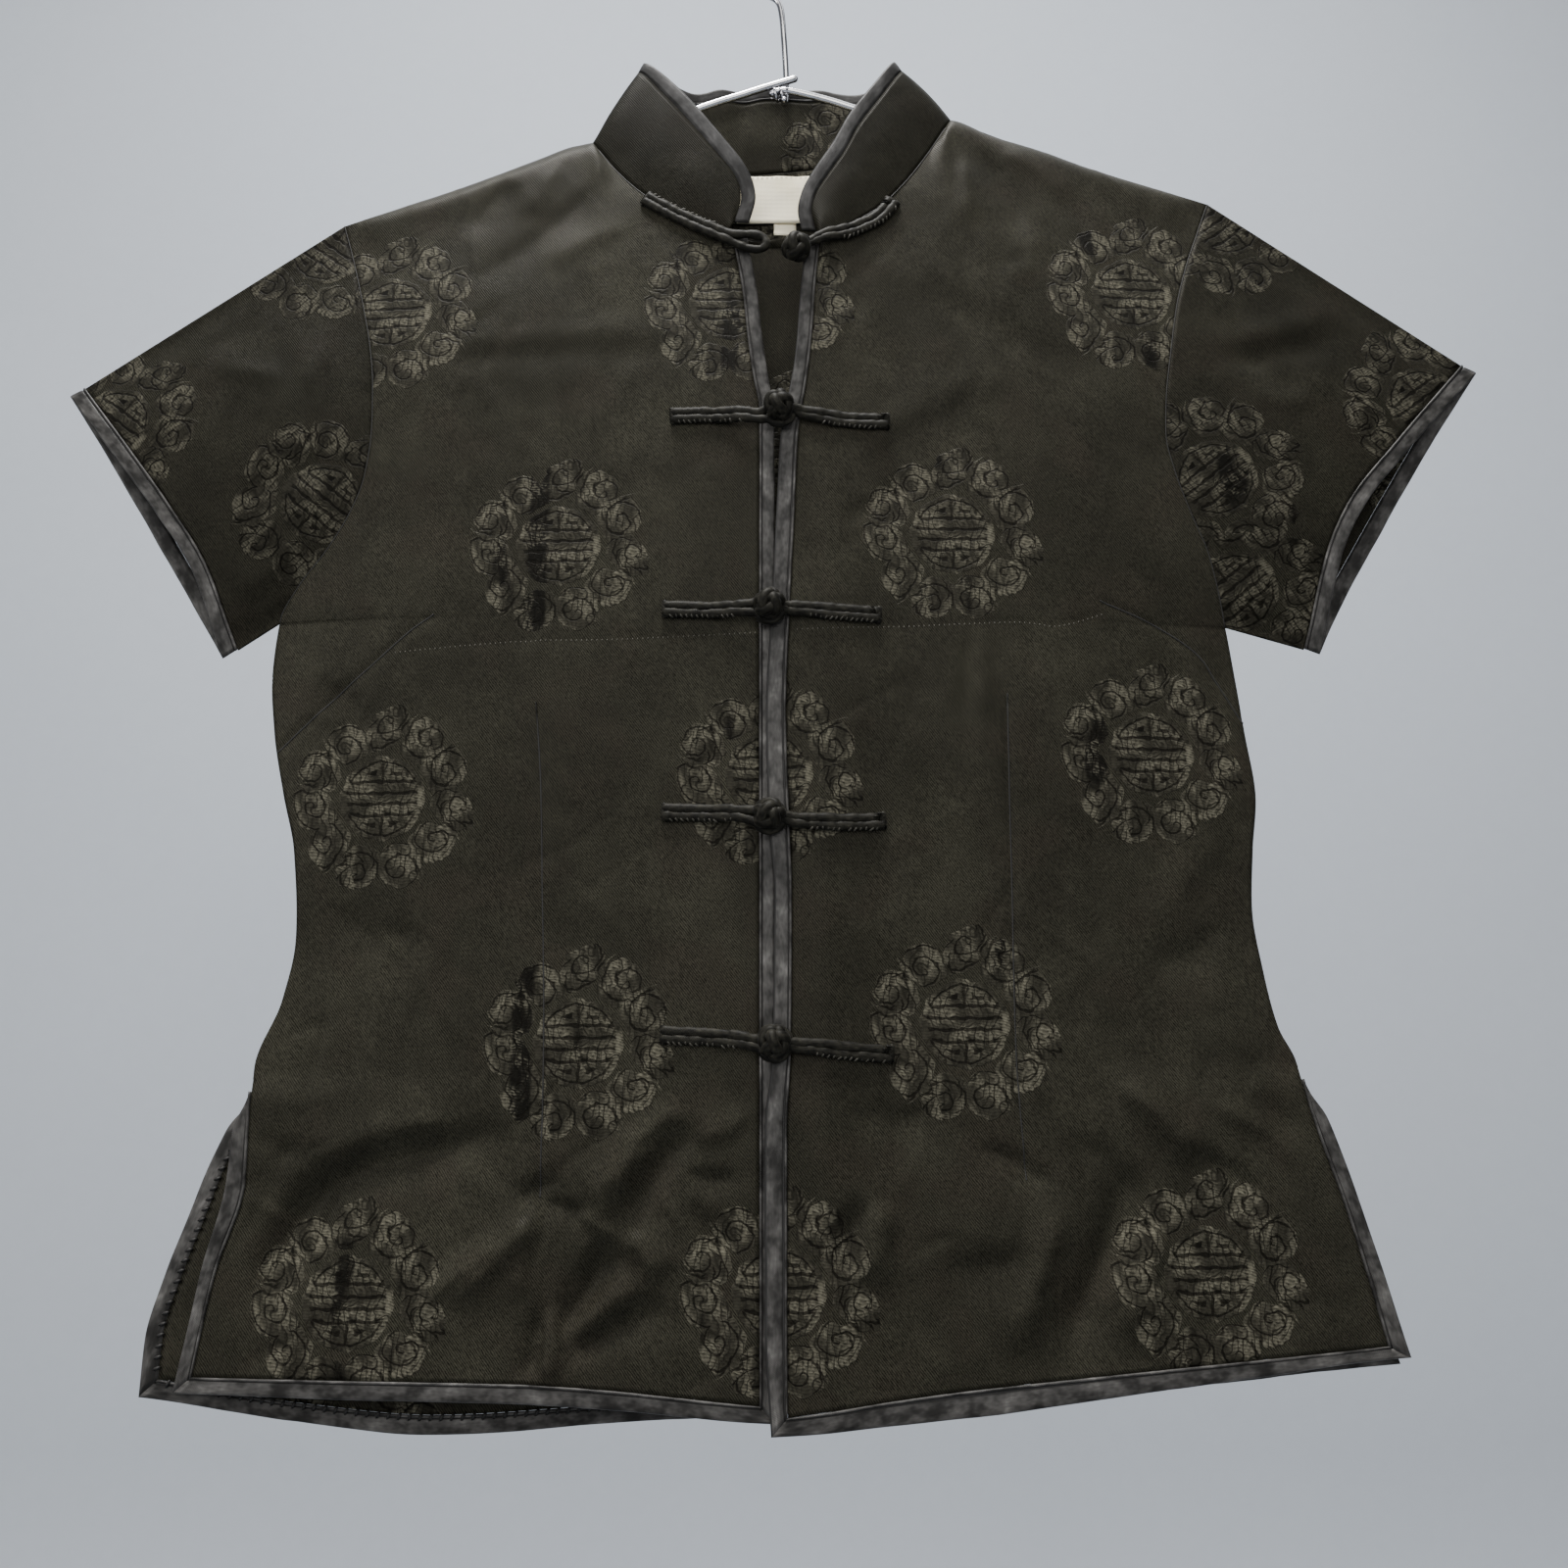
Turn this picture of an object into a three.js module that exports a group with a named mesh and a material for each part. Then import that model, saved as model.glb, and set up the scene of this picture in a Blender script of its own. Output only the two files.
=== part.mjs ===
import * as THREE from 'three';

// A short-sleeved frog button shirt of figured satin, hung flat on a wire hanger.
// Millimetres. The origin is where a rod touches the inside of the hook; x runs to the right of
// someone looking at the front, y runs away from them, z runs up. Right and left in the names are
// the wearer's, so the wearer's right side has negative x.

// Cloth and wire
const clothThickness = 1.2;
const collarThickness = 1.6;
const bindingThickness = 2.2;
const pipingRise = 0.7;
const labelThickness = 0.8;
const tabRest = 0.35;
const labelRest = tabRest + labelThickness + 0.3;
const seamGap = 0.4;
const sleeveGap = 0.55;
const collarGap = 0.8;
const seamHalf = 0.77;
const neckHalf = 1.3;
const stemRadius = 1.5;
const armRadius = 1.8;
const hookRadius = 20;

// Lens shape of the body between its front and its back
const lensPower = 2.6;
const lensCentreX = -3;
const topSwell = 35;
const ridgeSwell = 2.2;
const ridgeSwellAt = 7;
const armholeDepth = 8;
const armholePower = 0.8;
const slitOpen = 2.2;
const slitOpenOver = 14;
const overlapLift = 2.9;
const overlapFrom = 12;
const overlapTo = 60;
const foldFadeOver = 30;

// Grid of the panels and sleeves
const armholeRows = 10;
const bodyRows = 18;
const neckColumns = [0, 0.25, 0.5, 0.75, 0.92];
const backNeckSpans = 9;
const firstTopZ = -150;
const firstBottomZ = -700;
const endRounds = 12;
const shoulderColumns = 7;
const sleeveSteps = 7;
const sleeveDepth = 8.5;
const sleeveSwell = 2.5;

// Frogs
const frogTube = 1.6;
const frogPitch = 3.7;
const frogEye = 5.7;
const knotRadius = 5.6;
const knotHalfDepth = 4.5;
const knotLift = 4.9;
const openEye = 4;
const stemEye = 2.2;
const restLift = clothThickness / 2 + frogTube + 0.45;
const overBinding = bindingThickness / 2 + pipingRise + frogTube + 0.6;
const frogReach = frogEye + 2 * frogTube + stemEye + 0.4;
const openKnotLift = 0.7;
const openReach = knotRadius + frogTube + stemEye - 1.2;
const cordFacets = 6;
const wireFacets = 8;

const black = 0x26241e;
const charcoal = 0x4b484a;
const chrome = 0xc8c9cc;
const cream = 0xe8e2d0;

// Half the depth of the body at its middle
const bodyDepth = [
  { z: -120, half: 12 }, { z: -170, half: 13 }, { z: -250, half: 15 }, { z: -330, half: 16 },
  { z: -420, half: 14 }, { z: -500, half: 10 }, { z: -580, half: 9.5 }, { z: -650, half: 10 },
  { z: -730, half: 10.5 },
];

// Underarm heights and slit tops
const sides = {
  right: { sign: -1, underarmZ: -371, slitZ: -574 },
  left: { sign: 1, underarmZ: -373, slitZ: -570 },
};

// Armhole, then side seam
const sideEdge = {
  right: [
    { z: -167, x: -214.6 }, { z: -185.6, x: -208.9 }, { z: -214, x: -201.4 }, { z: -233, x: -197.1 },
    { z: -254.5, x: -194.1 }, { z: -278.8, x: -193.1 }, { z: -302.3, x: -195.4 }, { z: -319, x: -201 },
    { z: -336.7, x: -210.8 }, { z: -354, x: -223.2 }, { z: -371, x: -231.5 }, { z: -396, x: -233 },
    { z: -424, x: -230 }, { z: -452, x: -224 }, { z: -478, x: -217.5 }, { z: -518, x: -214 },
    { z: -544, x: -218 }, { z: -574, x: -228 },
  ],
  left: [
    { z: -155, x: 207.4 }, { z: -170.6, x: 201.6 }, { z: -189.8, x: 194.6 }, { z: -212.4, x: 188.2 },
    { z: -238, x: 183.5 }, { z: -262.8, x: 179.8 }, { z: -281.8, x: 178.7 }, { z: -298.9, x: 182 },
    { z: -319, x: 188.4 }, { z: -339.4, x: 196 }, { z: -373, x: 202.3 }, { z: -396, x: 205 },
    { z: -424, x: 208 }, { z: -452, x: 211 }, { z: -478, x: 208 }, { z: -505, x: 206 },
    { z: -531, x: 209 }, { z: -556, x: 214 }, { z: -570, x: 220.5 },
  ],
};

// Slits: x is where the panel ends at its piping, edge is the outer edge of the binding
const frontSlit = {
  right: [
    { z: -590, x: -228, edge: -234.5 }, { z: -621, x: -227.5, edge: -236 },
    { z: -657, x: -236.9, edge: -243.5 }, { z: -706, x: -244.8, edge: -251.3 },
  ],
  left: [
    { z: -584, x: 223, edge: 228 }, { z: -600, x: 227, edge: 234 }, { z: -630, x: 236, edge: 243 },
    { z: -660, x: 243.5, edge: 251 }, { z: -696, x: 251.5, edge: 259 },
  ],
};
const backSlit = {
  right: [
    { z: -590, x: -228, edge: -235 }, { z: -614, x: -238, edge: -245.3 }, { z: -638, x: -246, edge: -253.3 },
    { z: -658, x: -252.6, edge: -260 }, { z: -684, x: -258.8, edge: -266.4 }, { z: -710, x: -259.4, edge: -266.9 },
  ],
  left: [
    { z: -584, x: 221.5, edge: 227 }, { z: -600, x: 225.5, edge: 232.5 }, { z: -650, x: 238, edge: 245 },
    { z: -700, x: 249, edge: 256 },
  ],
};

// Centre front: x is the piping, width is the binding beyond it
const centreFront = {
  right: [
    { z: -179, x: -25, width: 7.2 }, { z: -211, x: -19.6, width: 7 }, { z: -235, x: -17.2, width: 7 },
    { z: -256, x: -14.3, width: 7 }, { z: -272, x: -11.6, width: 7 }, { z: -369, x: -11.3, width: 7.2 },
    { z: -562, x: -10.6, width: 6.8 }, { z: -716, x: -9.9, width: 6 },
  ],
  left: [
    { z: -184, x: 17.2, width: 7.2 }, { z: -210, x: 14.8, width: 7 }, { z: -228, x: 13.7, width: 7 },
    { z: -246, x: 12.1, width: 7.2 }, { z: -262, x: 10, width: 7.5 }, { z: -285, x: 6.6, width: 8.2 },
    { z: -330, x: 4.6, width: 8.4 }, { z: -369, x: 2.7, width: 8 }, { z: -416, x: 1, width: 9 },
    { z: -464, x: 2.2, width: 9 }, { z: -500, x: 3.5, width: 7.7 }, { z: -566, x: 3, width: 7.7 },
    { z: -600, x: 1.4, width: 9.5 }, { z: -680, x: 1.4, width: 9 }, { z: -721, x: 1.6, width: 6 },
  ],
};

// Top edge of each panel: neck seam, then shoulder ridge; half is the distance from the middle plane
const topEdge = {
  right: [
    { x: -25, z: -179, half: 13 }, { x: -47.2, z: -169.5, half: 11.5 }, { x: -66.5, z: -156.4, half: 9 },
    { x: -81.4, z: -141, half: 6 }, { x: -91, z: -127.5, half: 3.4 }, { x: -94.7, z: -121.3, half: neckHalf },
    { x: -103, z: -122.5, half: seamHalf }, { x: -121, z: -130, half: seamHalf },
    { x: -155, z: -144.5, half: seamHalf }, { x: -214.6, z: -167, half: seamHalf },
  ],
  left: [
    { x: 17.2, z: -184, half: 13 }, { x: 30.6, z: -174.8, half: 11.5 }, { x: 49.8, z: -159, half: 9 },
    { x: 67.1, z: -135.7, half: 6 }, { x: 79.2, z: -115.5, half: 3.4 }, { x: 82.8, z: -108.6, half: neckHalf },
    { x: 103, z: -117, half: seamHalf }, { x: 131, z: -127, half: seamHalf },
    { x: 149, z: -134.5, half: seamHalf }, { x: 207.4, z: -155, half: seamHalf },
  ],
  back: [
    { x: -214.6, z: -167, half: seamHalf }, { x: -155, z: -144.5, half: seamHalf },
    { x: -121, z: -130, half: seamHalf }, { x: -103, z: -122.5, half: seamHalf },
    { x: -94.7, z: -121.3, half: neckHalf }, { x: -88, z: -125, half: 3.4 }, { x: -60, z: -130, half: 8 },
    { x: -20, z: -131, half: 11 }, { x: 15, z: -128, half: 11 }, { x: 50, z: -123.5, half: 8.5 },
    { x: 77, z: -113, half: 3.4 }, { x: 82.8, z: -108.6, half: neckHalf }, { x: 103, z: -117, half: seamHalf },
    { x: 131, z: -127, half: seamHalf }, { x: 149, z: -134.5, half: seamHalf },
    { x: 207.4, z: -155, half: seamHalf },
  ],
};
const neckPoint = { right: -94.7, left: 82.8 };
const ridgeFadeOver = 12;

// Hems: z is where the panel ends at its piping, edge is the lowest edge of the binding
const hem = {
  right: [
    { x: -245, z: -699, edge: -705.5 }, { x: -180, z: -700, edge: -707.5 }, { x: -112, z: -701, edge: -708.7 },
    { x: -5, z: -709.5, edge: -716.4 },
  ],
  left: [
    { x: 0, z: -713.4, edge: -720.8 }, { x: 80, z: -703, edge: -713.6 }, { x: 120, z: -699, edge: -708.4 },
    { x: 255, z: -686.5, edge: -691 },
  ],
  back: [
    { x: -262, z: -700, edge: -707 }, { x: -201, z: -710, edge: -717.5 }, { x: -145, z: -715, edge: -723 },
    { x: -64, z: -710.5, edge: -718 }, { x: 0, z: -707.5, edge: -715 }, { x: 80, z: -704.5, edge: -712 },
    { x: 160, z: -697.5, edge: -705 }, { x: 252, z: -686.5, edge: -694 },
  ],
};

// Sleeve hems from the top fold (part 0) to the underarm (part 1): pipe is the seam, edge the outer edge
const sleeveHem = {
  right: {
    front: [
      { part: 0, pipeX: -332.5, pipeZ: -253.5, edgeX: -339.6, edgeZ: -257.5 },
      { part: 0.3, pipeX: -303, pipeZ: -291, edgeX: -311, edgeZ: -293.5 },
      { part: 0.5, pipeX: -285, pipeZ: -315, edgeX: -292, edgeZ: -318 },
      { part: 0.75, pipeX: -266, pipeZ: -344, edgeX: -273, edgeZ: -346 },
      { part: 1, pipeX: -250, pipeZ: -384, edgeX: -256.5, edgeZ: -388.5 },
    ],
    back: [
      { part: 0, pipeX: -332.5, pipeZ: -253.5, edgeX: -339.6, edgeZ: -257.5 },
      { part: 0.3, pipeX: -308, pipeZ: -293, edgeX: -314.5, edgeZ: -297 },
      { part: 0.6, pipeX: -283, pipeZ: -333, edgeX: -289.5, edgeZ: -337 },
      { part: 0.85, pipeX: -262.5, pipeZ: -365, edgeX: -269, edgeZ: -369 },
      { part: 1, pipeX: -250, pipeZ: -384, edgeX: -256.5, edgeZ: -388.5 },
    ],
  },
  left: {
    front: [
      { part: 0, pipeX: 323.4, pipeZ: -241.5, edgeX: 330.6, edgeZ: -245.3 },
      { part: 0.3, pipeX: 286, pipeZ: -284, edgeX: 292, edgeZ: -288 },
      { part: 0.55, pipeX: 261.4, pipeZ: -314, edgeX: 267.5, edgeZ: -318 },
      { part: 0.7, pipeX: 250.5, pipeZ: -336, edgeX: 257.5, edgeZ: -338.5 },
      { part: 1, pipeX: 238, pipeZ: -383.7, edgeX: 245, edgeZ: -386.5 },
    ],
    back: [
      { part: 0, pipeX: 323.4, pipeZ: -241.5, edgeX: 330.6, edgeZ: -245.3 },
      { part: 0.3, pipeX: 296, pipeZ: -285, edgeX: 302.5, edgeZ: -288.5 },
      { part: 0.6, pipeX: 270, pipeZ: -327, edgeX: 277, edgeZ: -330.5 },
      { part: 0.85, pipeX: 249, pipeZ: -362, edgeX: 256, edgeZ: -365.5 },
      { part: 1, pipeX: 238, pipeZ: -383.7, edgeX: 245, edgeZ: -386.5 },
    ],
  },
};

// Stand collar from the right front end round the back to the left front end:
// place along the neck seam, piping, and outer edge of the binding; topY is negative in front
const collarRows = [
  { seamX: -26.5, pipeX: -24, pipeZ: -172, edgeX: -16.8, edgeZ: -172.5, topY: -12.5 },
  { seamX: -36, pipeX: -20.9, pipeZ: -159, edgeX: -13.6, edgeZ: -158, topY: -12.3 },
  { seamX: -47, pipeX: -24, pipeZ: -146, edgeX: -18, edgeZ: -142, topY: -11.5 },
  { seamX: -58, pipeX: -36, pipeZ: -128.5, edgeX: -30, edgeZ: -123.5, topY: -10 },
  { seamX: -70, pipeX: -51, pipeZ: -108, edgeX: -45, edgeZ: -102.5, topY: -7.5 },
  { seamX: -82, pipeX: -62, pipeZ: -93.5, edgeX: -56.5, edgeZ: -88, topY: -5 },
  { seamX: -91, pipeX: -69.5, pipeZ: -84, edgeX: -66.5, edgeZ: -78, topY: -2.9 },
  { seamX: -94.9, pipeX: -73, pipeZ: -81, edgeX: -70.3, edgeZ: -75.5, topY: 0 },
  { seamX: -88, pipeX: -67, pipeZ: -86.5, edgeX: -64.5, edgeZ: -79.5, topY: 3 },
  { seamX: -74, pipeX: -58, pipeZ: -90.5, edgeX: -56.5, edgeZ: -83.5, topY: 5 },
  { seamX: -58, pipeX: -46, pipeZ: -93.4, edgeX: -46, edgeZ: -86.4, topY: 7 },
  { seamX: -38, pipeX: -31, pipeZ: -92, edgeX: -31, edgeZ: -85, topY: 8.3 },
  { seamX: -18, pipeX: -14, pipeZ: -90.5, edgeX: -14, edgeZ: -83.5, topY: 9 },
  { seamX: 0, pipeX: 0, pipeZ: -90, edgeX: 0, edgeZ: -83, topY: 9.2 },
  { seamX: 17, pipeX: 14, pipeZ: -91, edgeX: 14, edgeZ: -84, topY: 9 },
  { seamX: 35, pipeX: 28, pipeZ: -93.5, edgeX: 28, edgeZ: -86.5, topY: 8 },
  { seamX: 52, pipeX: 40, pipeZ: -94.5, edgeX: 40, edgeZ: -87.5, topY: 6.5 },
  { seamX: 66, pipeX: 49, pipeZ: -90, edgeX: 47, edgeZ: -82.8, topY: 4.8 },
  { seamX: 77, pipeX: 55, pipeZ: -85, edgeX: 51.8, edgeZ: -78.6, topY: 2.9 },
  { seamX: 83, pipeX: 59, pipeZ: -80, edgeX: 55.6, edgeZ: -74.5, topY: 0 },
  { seamX: 79.2, pipeX: 56, pipeZ: -84.5, edgeX: 52.5, edgeZ: -78, topY: -2.9 },
  { seamX: 70, pipeX: 48, pipeZ: -97.5, edgeX: 43.5, edgeZ: -91.5, topY: -5 },
  { seamX: 60, pipeX: 37, pipeZ: -115, edgeX: 31.5, edgeZ: -110, topY: -7.5 },
  { seamX: 48, pipeX: 29, pipeZ: -132, edgeX: 23, edgeZ: -127.5, topY: -9.5 },
  { seamX: 37.5, pipeX: 21.5, pipeZ: -145, edgeX: 15, edgeZ: -141.5, topY: -11 },
  { seamX: 28, pipeX: 15.6, pipeZ: -156, edgeX: 9, edgeZ: -154, topY: -12 },
  { seamX: 21.5, pipeX: 13.4, pipeZ: -166, edgeX: 6.6, edgeZ: -166, topY: -12.5 },
  { seamX: 18.6, pipeX: 15.6, pipeZ: -177, edgeX: 8.6, edgeZ: -176.5, topY: -12.7 },
];

// Largest folds: soft ridges (height above 0) and troughs (below 0) of the two fronts and the back
const frontFolds = [
  { x1: -120, z1: -607, x2: -180, z2: -616, wide: 13, height: -2.4 },
  { x1: -196, z1: -628, x2: -232, z2: -682, wide: 14, height: -2.2 },
  { x1: -105, z1: -640, x2: -140, z2: -668, wide: 12, height: 2.2 },
  { x1: -70, z1: -640, x2: -92, z2: -682, wide: 14, height: -2 },
  { x1: -44, z1: -600, x2: -64, z2: -625, wide: 12, height: -1.5 },
  { x1: 196, z1: -582, x2: 238, z2: -618, wide: 14, height: -2 },
  { x1: 148, z1: -582, x2: 176, z2: -614, wide: 13, height: 1.8 },
  { x1: 140, z1: -624, x2: 112, z2: -694, wide: 15, height: -2.4 },
  { x1: 34, z1: -630, x2: 38, z2: -660, wide: 13, height: 1.6 },
  { x1: -105, z1: -146, x2: -160, z2: -205, wide: 13, height: -1.8 },
  { x1: -170, z1: -240, x2: -40, z2: -236, wide: 12, height: 1 },
];
const backFolds = [
  { x1: -60, z1: -560, x2: -95, z2: -680, wide: 18, height: 2.2 },
  { x1: 70, z1: -590, x2: 110, z2: -690, wide: 17, height: -2.2 },
  { x1: 20, z1: -430, x2: 26, z2: -560, wide: 16, height: -1.6 },
  { x1: -150, z1: -600, x2: -205, z2: -680, wide: 16, height: -2 },
  { x1: -120, z1: -180, x2: -60, z2: -260, wide: 18, height: 1.6 },
  { x1: 120, z1: -175, x2: 70, z2: -250, wide: 16, height: -1.6 },
];

// Frogs from the top: outer ends, the knot, and the loop's eye
const frogs = [
  { name: 'frog_1', loopX: -66, loopZ: -158.5, knotX: 6, knotZ: -186, stemX: 52, stemZ: -160, open: true },
  { name: 'frog_2', loopX: -51, loopZ: -275.5, knotX: -2.3, knotZ: -274, stemX: 47, stemZ: -279 },
  { name: 'frog_3', loopX: -53, loopZ: -370, knotX: -6.7, knotZ: -370.5, stemX: 42, stemZ: -373 },
  { name: 'frog_4', loopX: -52, loopZ: -463, knotX: -6.5, knotZ: -466, stemX: 43, stemZ: -467 },
  { name: 'frog_5', loopX: -51, loopZ: -560, knotX: -4.1, knotZ: -564, stemX: 45, stemZ: -568 },
];
const openLoopEye = { x: -15, z: -184.5 };
const openStemBend = { x: 28, z: -180 };

// Label at the back of the neck
const label = { left: -27, right: 23, top: -133, bottom: -158.5 };
const sizeTab = { left: -5, right: 6, top: -154, bottom: -164.5 };

function mix(a, b, part) {
  return a + (b - a) * part;
}

function smooth(from, to, value) {
  const part = Math.min(1, Math.max(0, (value - from) / (to - from)));
  return part * part * (3 - 2 * part);
}

// Value of one column of a table at a place along another, straight between rows
function lookUp(table, key, column, at) {
  const rising = table[table.length - 1][key] > table[0][key];
  const after = table.findIndex((row) => (rising ? row[key] >= at : row[key] <= at));
  if (after === 0) return table[0][column];
  if (after === -1) return table[table.length - 1][column];
  const a = table[after - 1];
  const b = table[after];
  return mix(a[column], b[column], (at - a[key]) / (b[key] - a[key]));
}

const frontEdge = {
  right: [...sideEdge.right, ...frontSlit.right],
  left: [...sideEdge.left, ...frontSlit.left],
};
const backEdge = {
  right: [...sideEdge.right, ...backSlit.right],
  left: [...sideEdge.left, ...backSlit.left],
};

// Half depth where the body ends: the armhole's bow, the closed side seam, the open slit
function edgeHalf(side, z) {
  const tipZ = sideEdge[side][0].z;
  const { underarmZ, slitZ } = sides[side];
  if (z > underarmZ) {
    const part = Math.min(1, Math.max(0, (z - tipZ) / (underarmZ - tipZ)));
    return seamHalf + armholeDepth * Math.sin(Math.PI * part) ** armholePower;
  }
  return seamHalf + slitOpen * smooth(slitZ, slitZ - slitOpenOver, z);
}

// Distance of the cloth's middle from the plane of the hanger
function halfDepth(x, z, top) {
  const side = x < lensCentreX ? 'right' : 'left';
  const edgeX = lookUp(frontEdge[side], 'z', 'x', z);
  const part = Math.min(1, (x - lensCentreX) / (edgeX - lensCentreX));
  const edge = edgeHalf(side, z);
  const lens = mix(lookUp(bodyDepth, 'z', 'half', z), edge, part ** lensPower);
  const base = lookUp(top, 'x', 'half', x);
  const below = Math.max(0, lookUp(top, 'x', 'z', x) - z);
  const beyondNeck = side === 'right' ? neckPoint.right - x : x - neckPoint.left;
  const ridge = smooth(-ridgeFadeOver, 0, beyondNeck) * ridgeSwell * (below / ridgeSwellAt);
  const swell = ridge * Math.exp(1 - below / ridgeSwellAt) * smooth(edgeX, edgeX * 0.9, x);
  return mix(Math.max(lens, base), base, Math.exp(-below / topSwell)) + swell;
}

// Height of the folds at a point, fading out towards the side seams
function foldHeight(folds, x, z) {
  const side = x < lensCentreX ? 'right' : 'left';
  const inside = Math.abs(lookUp(frontEdge[side], 'z', 'x', z) - x);
  let height = 0;
  for (const fold of folds) {
    const along = new THREE.Vector2(fold.x2 - fold.x1, fold.z2 - fold.z1);
    const from = new THREE.Vector2(x - fold.x1, z - fold.z1);
    const part = Math.min(1, Math.max(0, from.dot(along) / along.lengthSq()));
    const off = from.sub(along.multiplyScalar(part)).length();
    height += fold.height * Math.exp(-((off / fold.wide) ** 2));
  }
  return height * smooth(0, foldFadeOver, inside);
}

// Where the left front laps over the right one
function lapLift(side, x) {
  return side === 'left' ? overlapLift * (1 - smooth(overlapFrom, overlapTo, x)) : 0;
}

function frontPoint(side, x, z, lift = 0) {
  const half = halfDepth(x, z, topEdge[side]) + foldHeight(frontFolds, x, z) + lapLift(side, x);
  return new THREE.Vector3(x, -half - lift, z);
}

function backPoint(x, z, lift = 0) {
  const half = halfDepth(x, z, topEdge.back) + foldHeight(backFolds, x, z);
  return new THREE.Vector3(x, half + lift, z);
}

// Parts of the way down a panel: close together at the shoulder and the underarm, even below
function armholePart(row) {
  return (1 - Math.cos((Math.PI * row) / armholeRows)) / 2;
}

// One panel as rows of points. innerX and outerX give its two edges at a height, topZ and bottomZ
// its top and bottom at an x, underarmZ the height of the underarm, pointAt the surface.
function panelGrid({ columns, innerX, outerX, topZ, bottomZ, underarmZ, pointAt }) {
  const rows = [];
  const ends = columns.map((part) => {
    let top = firstTopZ;
    let bottom = firstBottomZ;
    for (let round = 0; round < endRounds; round += 1) {
      top = topZ(mix(innerX(top), outerX(top), part));
      bottom = bottomZ(mix(innerX(bottom), outerX(bottom), part));
    }
    return { top, bottom, underarm: underarmZ(part) };
  });
  for (let row = 0; row <= armholeRows + bodyRows; row += 1) {
    rows.push(columns.map((part, column) => {
      const { top, bottom, underarm } = ends[column];
      const z = row <= armholeRows
        ? mix(top, underarm, armholePart(row))
        : mix(underarm, bottom, (row - armholeRows) / bodyRows);
      return pointAt(mix(innerX(z), outerX(z), part), z);
    }));
  }
  return rows;
}

// Unit normals of a grid of points, from the neighbours of each point
function gridNormals(rows, closed) {
  return rows.map((row, i) => row.map((point, j) => {
    const count = row.length;
    const before = closed ? row[(j + count - 1) % count] : row[Math.max(0, j - 1)];
    const after = closed ? row[(j + 1) % count] : row[Math.min(count - 1, j + 1)];
    const above = rows[Math.max(0, i - 1)][j];
    const below = rows[Math.min(rows.length - 1, i + 1)][j];
    const across = new THREE.Vector3().subVectors(after, before);
    return across.cross(new THREE.Vector3().subVectors(below, above)).normalize();
  }));
}

// Closed geometry from points and triangles, turned so that its faces point out
function closedGeometry(points, triangles) {
  let volume = 0;
  const cross = new THREE.Vector3();
  for (let i = 0; i < triangles.length; i += 3) {
    const [a, b, c] = [points[triangles[i]], points[triangles[i + 1]], points[triangles[i + 2]]];
    volume += cross.crossVectors(b, c).dot(a);
  }
  const facing = volume < 0 ? triangles.slice().reverse() : triangles;
  const geometry = new THREE.BufferGeometry().setFromPoints(points);
  geometry.setIndex(facing);
  geometry.computeVertexNormals();
  return geometry;
}

// A wall of cloth about a grid of points; closed joins each row's end to its start
function wall(rows, thickness, closed = false) {
  const normals = gridNormals(rows, closed);
  const height = rows.length;
  const width = rows[0].length;
  const points = [];
  for (const face of [0.5, -0.5]) {
    rows.forEach((row, i) => row.forEach((point, j) => {
      points.push(point.clone().addScaledVector(normals[i][j], face * thickness));
    }));
  }
  const at = (face, i, j) => face * height * width + i * width + (j % width);
  const triangles = [];
  const quad = (a, b, c, d) => triangles.push(a, b, c, a, c, d);
  const spans = closed ? width : width - 1;
  for (let j = 0; j < spans; j += 1) {
    for (let i = 0; i < height - 1; i += 1) {
      quad(at(0, i, j), at(0, i, j + 1), at(0, i + 1, j + 1), at(0, i + 1, j));
      quad(at(1, i, j), at(1, i + 1, j), at(1, i + 1, j + 1), at(1, i, j + 1));
    }
    quad(at(0, 0, j), at(1, 0, j), at(1, 0, j + 1), at(0, 0, j + 1));
    quad(at(0, height - 1, j), at(0, height - 1, j + 1), at(1, height - 1, j + 1), at(1, height - 1, j));
  }
  if (!closed) {
    for (let i = 0; i < height - 1; i += 1) {
      quad(at(0, i, 0), at(0, i + 1, 0), at(1, i + 1, 0), at(1, i, 0));
      const last = width - 1;
      quad(at(0, i, last), at(1, i, last), at(1, i + 1, last), at(0, i + 1, last));
    }
  }
  return closedGeometry(points, triangles);
}

// Section of a binding: part of the way across, and height in thicknesses with the piping's rise
const bindingSection = [
  { across: 0, up: -0.5, rise: 0 }, { across: 0, up: 0.5, rise: 1 }, { across: 0.22, up: 0.5, rise: 1 },
  { across: 0.32, up: 0.5, rise: 0 }, { across: 1, up: 0.4, rise: 0 }, { across: 1, up: -0.4, rise: 0 },
];

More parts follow.
